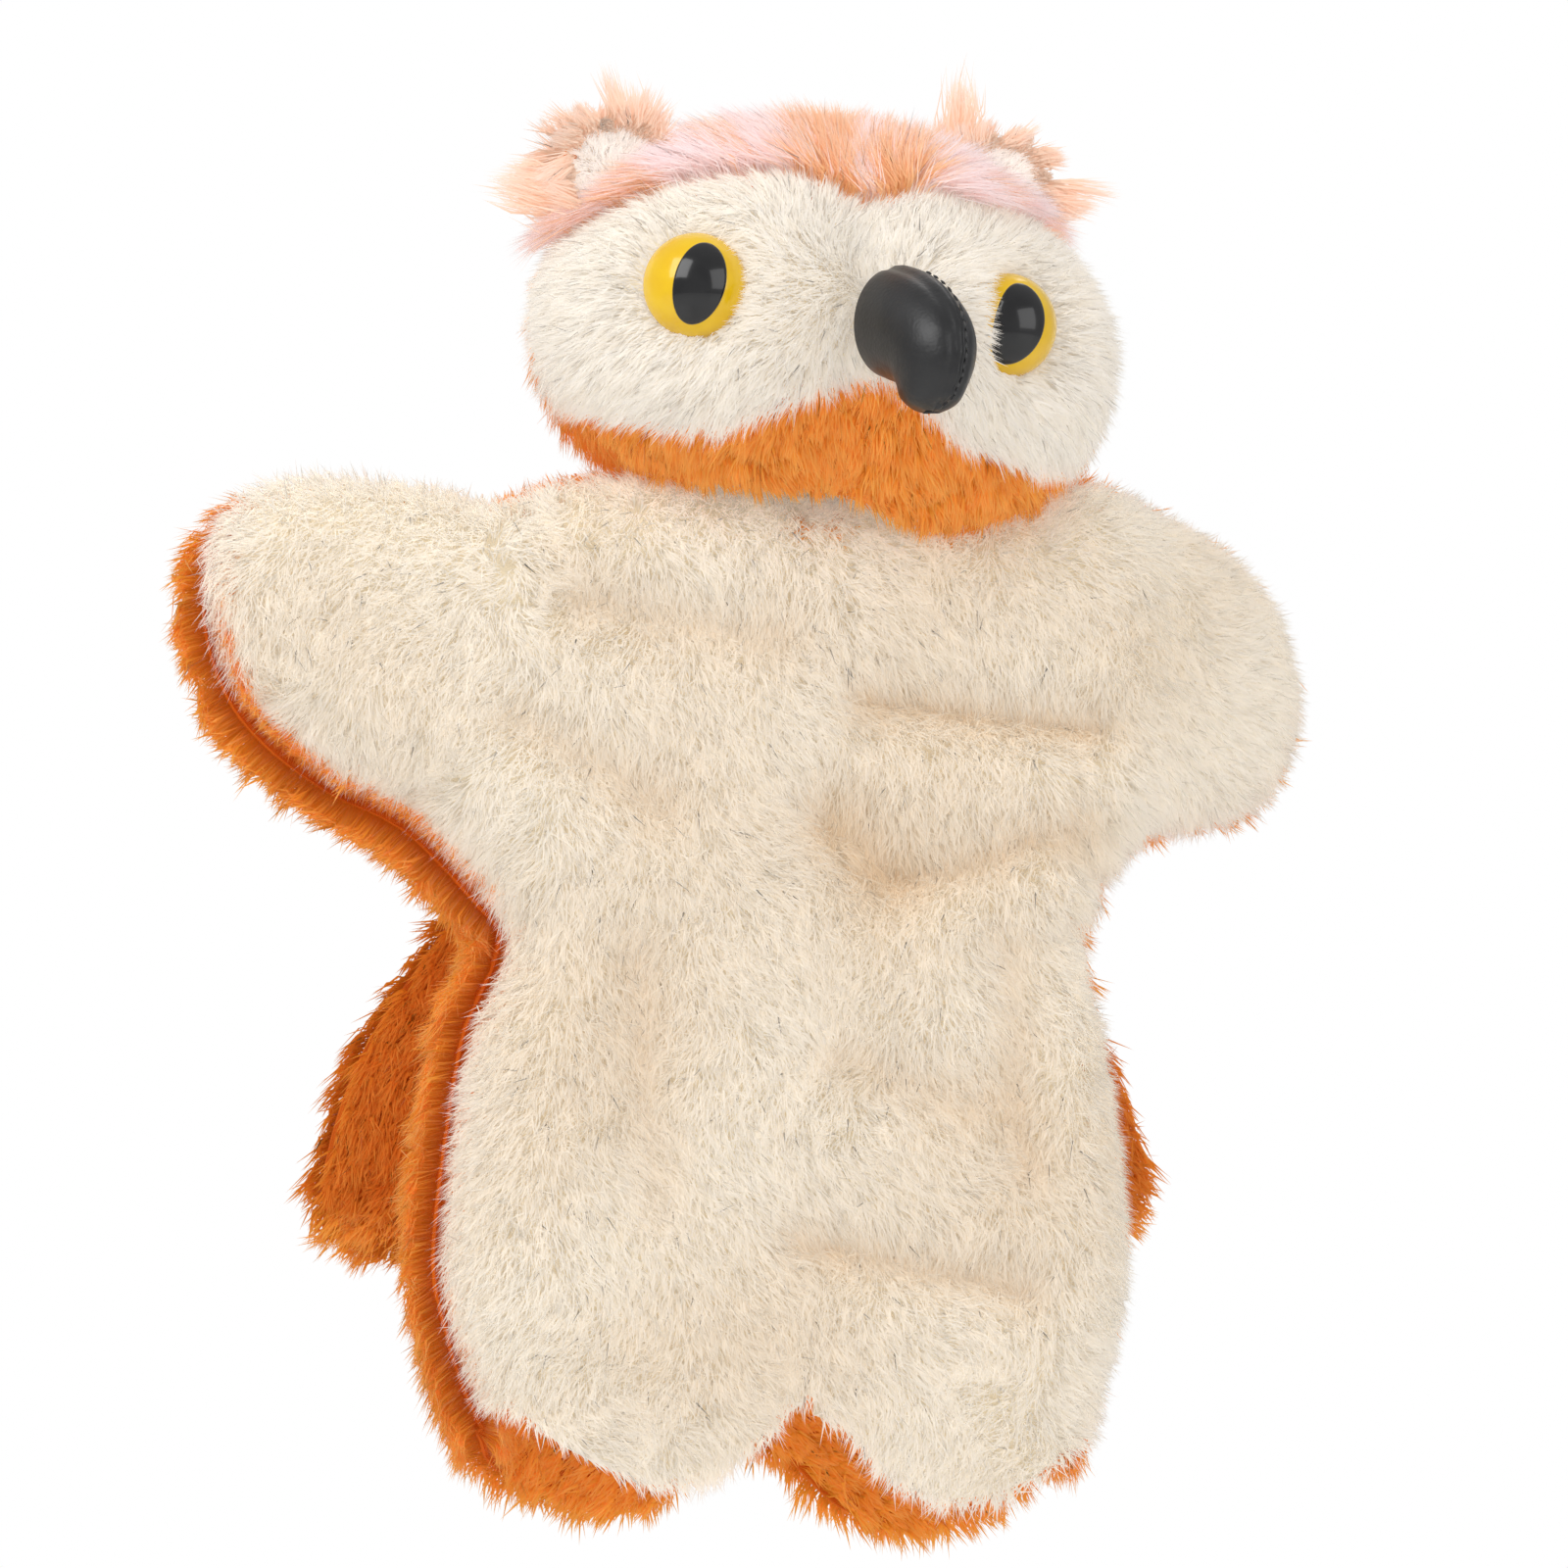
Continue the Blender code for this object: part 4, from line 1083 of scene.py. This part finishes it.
# %% Beak sections: forward, up, half height, half width, turn
BEAK_SECTIONS = (
    (-3, 3.0, 11.0, 9.2, 0), (0, 2.6, 11.3, 9.4, 0), (5.5, 1.3, 11.2, 9.2, 6), (10.2, -1.0, 10.8, 8.6, 20),
    (13.4, -4.2, 10.4, 8.0, 38), (14.6, -7.4, 9.4, 7.2, 54), (14.6, -10.6, 7.8, 6.2, 66), (14.2, -13.4, 5.4, 4.6, 76),
    (13.8, -15.0, 1.6, 1.6, 82),
)
BEAK_YAW = math.radians(16)
BEAK_LATITUDE = math.radians(-4)
beak_lon = math.asin(3.5 / 60)
root_ring = rounded(math.cos(BEAK_LATITUDE))
BEAK_ROOT = Vector((HEAD_HALF.x * root_ring * rounded(math.sin(beak_lon)),
                    -HEAD_HALF.y * root_ring * rounded(math.cos(beak_lon)) - 2.6 * MM,
                    HEAD_HALF.z * rounded(math.sin(BEAK_LATITUDE)) + 2.2 * MM))
beak_axes = head_axes @ Matrix.Translation(BEAK_ROOT) @ Matrix.Rotation(BEAK_YAW, 4, "Z")


def even_stations(stations, count):
    """Stations along a smooth curve through the given ones."""
    last = len(stations) - 1
    made = []
    for n in range(count):
        t = n / (count - 1) * last
        i = min(int(t), last - 1)
        t -= i
        p = [np.array(stations[min(max(k, 0), last)], float) for k in (i - 1, i, i + 1, i + 2)]
        made.append(0.5 * (2 * p[1] + (p[2] - p[0]) * t + (2 * p[0] - 5 * p[1] + 4 * p[2] - p[3]) * t ** 2
                           + (3 * p[1] - p[0] - 3 * p[2] + p[3]) * t ** 3))
    return made


def beak_point(station, angle, travel, lift=0.0):
    """Point of a section: 90 degrees is the ridge. The seam is pinched, and puckers near the tip."""
    forward, up, tall, wide, turn = station
    off_seam = abs(math.degrees(angle) - 90) / 14
    pinch = 0.55 * math.exp(-off_seam ** 2) - 0.9 * math.exp(-(abs(off_seam - 1.1) / 0.5) ** 2) * 0.5
    pucker = 0.55 * travel ** 3 * math.sin(travel * 60) * math.exp(-(off_seam / 2.2) ** 2)
    dent = 0.45 * math.sin(travel * 13 + 3 * angle) * travel ** 2
    grow = pinch + pucker + dent + lift
    across = (wide + grow * 0.8) * math.cos(angle)
    high = (tall + grow) * math.sin(angle)
    a = math.radians(turn)
    return beak_axes @ (Vector((across, -forward - high * math.sin(a), up + high * math.cos(a))) * MM)


ROWS, HALF_COLUMNS = 64, 36
sections = even_stations(BEAK_SECTIONS, ROWS)
for name, side in (("left", 1), ("right", -1)):
    mesh = bpy.data.meshes.new(f"{name}_beak")
    points, faces = [], []
    for i, station in enumerate(sections):
        for j in range(HALF_COLUMNS + 1):
            angle = -math.pi / 2 + math.pi * j / HALF_COLUMNS
            points.append(beak_point(station, angle if side > 0 else math.pi - angle, i / (ROWS - 1)))
    wide = HALF_COLUMNS + 1
    for i in range(ROWS - 1):
        for j in range(HALF_COLUMNS):
            a = i * wide + j
            faces.append((a, a + 1, a + wide + 1, a + wide))
    mesh.from_pydata(points, [], faces)
    mesh.update()
    inside = beak_axes @ Vector((0, -8 * MM, 0))
    if sum((f.center - inside).dot(f.normal) * f.area for f in mesh.polygons) < 0:
        mesh.flip_normals()
    mesh.shade_smooth()
    half = bpy.data.objects.new(f"{name}_beak", mesh)
    bpy.context.scene.collection.objects.link(half)
    thicken(half, leatherette, 0.9)
    ride_head(half, "leatherette", f"beak_{name}_skin")

stuffing = [[beak_point(station, 2 * math.pi * j / 24, 0, -2.2) for j in range(24)] for station in sections[2:-6:4]]
wad = ringed_mesh("beak_wad", stuffing)

# %% Stitch the ridge
def stitch(start, end, radius):
    """A short rounded stitch between two points."""
    turn = (end - start).to_track_quat("Z", "X").to_matrix().to_4x4()
    length = (end - start).length
    rings = []
    for share in np.linspace(0, 1, 9):
        bulge = radius * math.sin(math.pi * min(max(share, 0.06), 0.94)) ** 0.5
        rings.append([start + turn @ Vector((bulge * math.cos(t), bulge * math.sin(t), length * share))
                      for t in np.linspace(0, 2 * math.pi, 10, endpoint=False)])
    return rings


fine = even_stations(BEAK_SECTIONS, 240)
stitches = bmesh.new()
for first in range(52, 222, 11):
    beside = math.radians(90 - 9)
    a, b = (beak_point(fine[k], beside, k / 239, 0.35) for k in (first, first + 7))
    rings = [[stitches.verts.new(p) for p in ring] for ring in stitch(a, b, 0.26 * MM)]
    for ring, following in zip(rings, rings[1:]):
        for j in range(len(ring)):
            n = (j + 1) % len(ring)
            stitches.faces.new((ring[j], ring[n], following[n], following[j]))
mesh = bpy.data.meshes.new("ridge_stitches")
stitches.to_mesh(mesh)
stitches.free()
mesh.shade_smooth()
mesh.materials.append(sewing_thread)
ridge = bpy.data.objects.new("ridge_stitches", mesh)
bpy.context.scene.collection.objects.link(ridge)
ride_head(ridge, "thread", "beak_stitching")
print("beak", len(sections), "sections")

# %% [markdown]
# ## The ears
# Each ear is a small cloth leaf: short white pile inside, and on the back and the rim a long peach
# pile that fans out in pointed tufts. The rim tufts grow from a narrow band round the leaf's edge.

# %% Shape of an ear
EAR_BASES = {"right": Vector((-47, 2, 27.4)), "left": Vector((35, 2, 34.6))}
EAR_SPLAY = math.radians(38)
EAR_WIDE, EAR_TALL = 10.0, 13.5


def ear_axes(name):
    """Axes of an ear: local X along its sewn base, local Z up the ear."""
    side = -1 if name == "right" else 1
    return head_axes @ Matrix.Translation(EAR_BASES[name] * MM) @ Matrix.Rotation(side * EAR_SPLAY, 4, "Y")


def ear_leaf(name, axes, facing, share_from, share_to):
    """Part of the leaf between two shares of its size; facing -1 is the hollow white side."""
    mesh = bpy.data.meshes.new(name)
    points, faces = [], []
    turns, steps = 24, 6
    for i in range(steps + 1):
        share = share_from + (share_to - share_from) * i / steps
        for j in range(turns + 1):
            t = math.pi * j / turns
            x = EAR_WIDE * share * math.cos(t)
            z = EAR_TALL * share * math.sin(t) - 5.0
            hollow = 2.2 * (1 - share ** 2)
            y = facing * (1.6 + hollow * (0.2 if facing < 0 else 1.0))
            points.append(axes @ (Vector((x, y, z)) * MM))
    for i in range(steps):
        for j in range(turns):
            a = i * (turns + 1) + j
            faces.append((a, a + 1, a + turns + 2, a + turns + 1))
    mesh.from_pydata(points, [], faces)
    mesh.update()
    outward = (axes.to_3x3() @ Vector((0, facing, 0)))
    if sum(f.normal.dot(outward) * f.area for f in mesh.polygons) < 0:
        mesh.flip_normals()
    mesh.shade_smooth()
    leaf = bpy.data.objects.new(name, mesh)
    bpy.context.scene.collection.objects.link(leaf)
    return leaf


def fan_brush(axes):
    """Outwards from the middle of the sewn base."""
    centre = np.array((axes @ Vector((0, 0, -0.007)))[:])

    def brush(places):
        return unit(places - centre) + 0.9 * swirl(places, 120.0, 6.0)
    return brush


EAR_SKINS = (
    ("inner", -1, 0.03, 0.86, "white", {"per_mm2": 13.0, "length": 6.5, "width": 0.34, "lean": 0.6, "wild": 0.3,
                                        "locks": 0.10, "pull": 0.5, "droop": 0.05}),
    ("rim", -1, 0.84, 1.0, "peach", {"per_mm2": 24.0, "length": 15.0, "width": 0.34, "lean": 1.3, "wild": 0.30,
                                     "locks": 0.012, "pull": 0.85, "uneven": 1.0, "droop": 0.16}),
    ("back", 1, 0.03, 1.0, "peach", {"per_mm2": 13.0, "length": 13.0, "width": 0.36, "lean": 1.0, "wild": 0.28,
                                     "locks": 0.02, "pull": 0.8, "uneven": 0.8, "droop": 0.16}),
)
for name in ("right", "left"):
    axes = ear_axes(name)
    for part, facing, inner, outer, colour, hair in EAR_SKINS:
        leaf = ear_leaf(f"{name}_ear_{part}_cloth", axes, facing, inner, outer)
        plush = white_plush if colour == "white" else peach_plush
        fur = grow_plush(f"{name}_ear_{part}_plush", leaf, plush, brush=fan_brush(axes), seed=61 + facing, **hair)
        thicken(leaf, white_backing if colour == "white" else frosted_backing, 0.8)
        for piece in (leaf, fur):
            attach(piece, f"{name}_ear")
            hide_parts(f"{name}_ear_inner" if facing < 0 else f"{name}_ear_back")

# %% [markdown]
# ## Tufts beside the ears
# Long pile never lies quite flat: one thin wisp stands up on the left ear and a short tuft curls out
# where the right ear meets the cheek.

# %% Wisps
def wisp(name, body, place, way, length, spread, hairs, plush, seed):
    """A loose pointed tuft of long hairs that start close together."""
    rng = np.random.default_rng(seed)
    roots = np.array(place) * MM + rng.normal(size=(hairs, 3)) * spread * MM
    aim = unit(np.array(way, float) + rng.normal(size=(hairs, 3)) * 0.16)
    reach = (length * MM * rng.uniform(0.6, 1.0, hairs))[:, None]
    curl = rng.normal(size=(hairs, 3)) * 0.05 * reach
    middles = roots + aim * reach * 0.5 + curl
    tips = roots + aim * reach + np.array([-0.12, 0, 0.05]) * reach
    tips, _ = gather_locks(roots, tips, 0.03, 0.5, rng)
    normals = np.tile(np.array([0.0, -1.0, 0.2]), (hairs, 1))
    mesh = blade_mesh(name, roots, middles, tips, normals, 0.32 * MM * rng.uniform(0.7, 1.2, hairs),
                      rng.uniform(0.5, 0.95, hairs), rng)
    mesh.materials.append(plush)
    tuft = bpy.data.objects.new(name, mesh)
    bpy.context.scene.collection.objects.link(tuft)
    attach(tuft, body)


wisp("left_ear_wisp", "left_ear", (34, -9, 281), (0.12, 0, 1.0), 17.0, 1.3, 150, peach_plush, 71)
wisp("right_ear_tuft", "right_ear", (-50, -9, 270), (-1.0, 0, 0.1), 13.0, 2.4, 260, peach_plush, 72)
wisp("right_ear_upper_tuft", "right_ear", (-36, -9, 281), (0.25, 0, 1.0), 11.0, 1.8, 220, peach_plush, 73)

# %% [markdown]
# ## The tail
# The tail is a fan of two plush faces with thin wadding between, sewn to the back only along its upper
# edge. It widens towards a fringed lower edge, where the pile is brushed downwards.

# %% Tail cloths
TAIL_STATIONS = ((58.5, 75), (61.5, 87), (72, 90), (96, 82.5), (118, 68), (137, 54))
TAIL_Y = {"inner": 32.0, "outer": 37.0}


def tail_cloth(name, facing, y_middle):
    """One face of the fan, slightly swollen in the middle like anything sewn round and filled."""
    stations = even_stations(TAIL_STATIONS, 22)
    columns = 34
    points, faces = [], []
    for i, (height, half) in enumerate(stations):
        for j in range(columns + 1):
            across = 2 * j / columns - 1
            low = 1 - i / 21
            swell = 2.6 * ease(np.array(min((1 - abs(across)) * 6, (i + 0.4) / 3.0, (21.4 - i) / 2.5, 1.0)))
            ripple = 0.9 * math.sin(across * 9 + 2) * low + 0.6 * math.sin(across * 21) * low ** 2
            x = (half - 3.5) * across
            z = height + 3 * across ** 2 * low
            points.append(Vector((x, y_middle + facing * swell + ripple, z)) * MM)
    wide = columns + 1
    for i in range(21):
        for j in range(columns):
            a = i * wide + j
            faces.append((a, a + 1, a + wide + 1, a + wide))
    mesh = bpy.data.meshes.new(name)
    mesh.from_pydata(points, [], faces)
    mesh.update()
    if sum(f.normal.y * f.area for f in mesh.polygons) * facing < 0:
        mesh.flip_normals()
    mesh.shade_smooth()
    cloth = bpy.data.objects.new(name, mesh)
    bpy.context.scene.collection.objects.link(cloth)
    return cloth


def tail_brush(places):
    """Down and outwards, as the fan opens."""
    side = places[:, 0] / (80 * MM)
    return np.stack([side * 0.9, 0 * side, -1 + 0 * side], 1) + 0.8 * swirl(places, 45.0, 12.0)


def deep_orange(roots, lightness, rng):
    """The tail is deep orange in its middle, and its worn fringe is lighter."""
    return 0.05 + 0.40 * lightness + 0.6 * ease((72 - roots[:, 2] / MM) / 9)


TAIL_HAIR = {"per_mm2": 4.2, "length": 9.5, "width": 0.46, "lean": 0.9, "wild": 0.42,
             "locks": 0.05, "pull": 0.6, "uneven": 0.5, "droop": 0.12}
for k, (part, facing) in enumerate((("inner", -1), ("outer", 1))):
    cloth = tail_cloth(f"tail_{part}_cloth", facing, 34.5 + facing * 1.2)
    fur = grow_plush(f"tail_{part}_plush", cloth, tail_plush, brush=tail_brush, light=deep_orange,
                     seed=81 + k, **TAIL_HAIR)
    thicken(cloth, orange_backing, 0.8)
    for piece in (cloth, fur):
        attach(piece, "tail")
        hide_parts(f"tail_{part}_panel")

wad_rows = [[Vector((x * 0.84, 34.5, 66 + (z - 58.5) * 0.8)) * MM for x in np.linspace(-half, half, 12)]
            for z, half in even_stations(TAIL_STATIONS, 12)]
wad_mesh = bpy.data.meshes.new("tail_wad")
wad_mesh.from_pydata([p for row in wad_rows for p in row], [],
                     [(12 * i + j, 12 * i + j + 1, 12 * i + j + 13, 12 * i + j + 12) for i in range(11)
                      for j in range(11)])
tail_wad = bpy.data.objects.new("tail_wad", wad_mesh)
bpy.context.scene.collection.objects.link(tail_wad)

# %% [markdown]
# ## The neck ruff
# Where the head's skin is gathered onto the sleeve, its pile makes a ruff that hides the neck.

# %% Neck ruff
NECK = Vector((0, -3, 205)) * MM


def ruff_cloth():
    """A short flared band round the neck."""
    rings = []
    for share in np.linspace(0, 1, 7):
        wide, deep = 22 + 5 * share, 8 + 2 * share
        rings.append([NECK + Vector((wide * math.cos(t), deep * math.sin(t), -4 + 6 * share)) * MM
                      for t in np.linspace(0, 2 * math.pi, 40, endpoint=False)])
    return ringed_mesh("neck_ruff_cloth", rings, closed_end=False)


ruff = ruff_cloth()
if sum((f.center - NECK).dot(f.normal) * f.area for f in ruff.data.polygons) < 0:
    ruff.data.flip_normals()
ruff_fur = grow_plush("neck_ruff_plush", ruff, orange_plush, brush=down_brush, seed=91, per_mm2=4.0, length=9.0,
                      width=0.42, lean=0.7, wild=0.35, locks=0.07, pull=0.6, droop=0.1)
thicken(ruff, orange_backing, 0.8)
for piece in (ruff, ruff_fur):
    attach(piece, "neck")

# %% [markdown]
# ## Inside the puppet
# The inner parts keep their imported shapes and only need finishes: cotton wadding, a lining cloth for
# the finger stall and the sleeve, and white plastic for the washers that lock the eyes.

# %% Inner finishes
def wadding_look(wire):
    """Matted cotton fibres."""
    place = wire.make("ShaderNodeTexCoord", {}, {}, 3)
    clumps = wire.make("ShaderNodeTexNoise", {}, {"Vector": place, "Scale": 320.0, "Detail": 5.0})
    colour = wire.make("ShaderNodeValToRGB", {"stops": ((0.3, (0.70, 0.69, 0.66)), (0.7, (0.86, 0.85, 0.83)))},
                       {"Fac": clumps})
    bump = wire.make("ShaderNodeBump", {}, {"Height": clumps, "Strength": 0.6, "Distance": 0.0008})
    return {"Base Color": colour, "Normal": bump}


def woven_look(wire):
    """Plain weave: two crossed sets of threads."""
    place = wire.make("ShaderNodeTexCoord", {}, {}, 3)
    warp = wire.make("ShaderNodeTexWave", {"bands_direction": "Z"}, {"Vector": place, "Scale": 700.0}, 1)
    weft = wire.make("ShaderNodeTexWave", {"bands_direction": "X"}, {"Vector": place, "Scale": 700.0}, 1)
    height = warp * 0.5 + weft * 0.5
    colour = wire.make("ShaderNodeValToRGB", {"stops": ((0.2, (0.60, 0.52, 0.40)), (0.8, (0.76, 0.69, 0.56)))},
                       {"Fac": height})
    bump = wire.make("ShaderNodeBump", {}, {"Height": height, "Strength": 0.4, "Distance": 0.0003})
    return {"Base Color": colour, "Normal": bump}


INNER = {
    "wadding": (finish("wadding", {"Roughness": 0.95}, wadding_look),
                ()),
    "lining_cloth": (finish("lining_cloth", {"Roughness": 0.9}, woven_look), ("finger_tube", "neck_sleeve")),
    "white_washer": (finish("white_washer", {"Coat Weight": 0.2},
                            faint_mottle((0.85, 0.85, 0.84), (0.80, 0.80, 0.79), 200.0)),
                     ("right_eye_washer", "left_eye_washer")),
}
for material, nodes in INNER.values():
    for node in nodes:
        for slot in bpy.data.objects[node].material_slots:
            slot.material = material

head_wad = ringed_mesh("head_wad", wad_rings)
for piece, body, node in ((head_wad, "head", "head_stuffing"), (wad, "head", "beak_stuffing"), (tail_wad, "tail", "tail_wadding")):
    thicken(piece, INNER["wadding"][0], 1.0)
    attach(piece, body)
    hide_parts(node)

# %% Floor
bpy.ops.mesh.primitive_cylinder_add(vertices=96, radius=1.3, depth=0.004, location=(0, 0, -0.14))
floor = bpy.context.object
floor.name = "pale_floor"
floor.data.materials.append(finish("pale_floor", {"Roughness": 0.9},
                                   faint_mottle((0.93, 0.93, 0.92), (0.91, 0.91, 0.90), 3.0)))
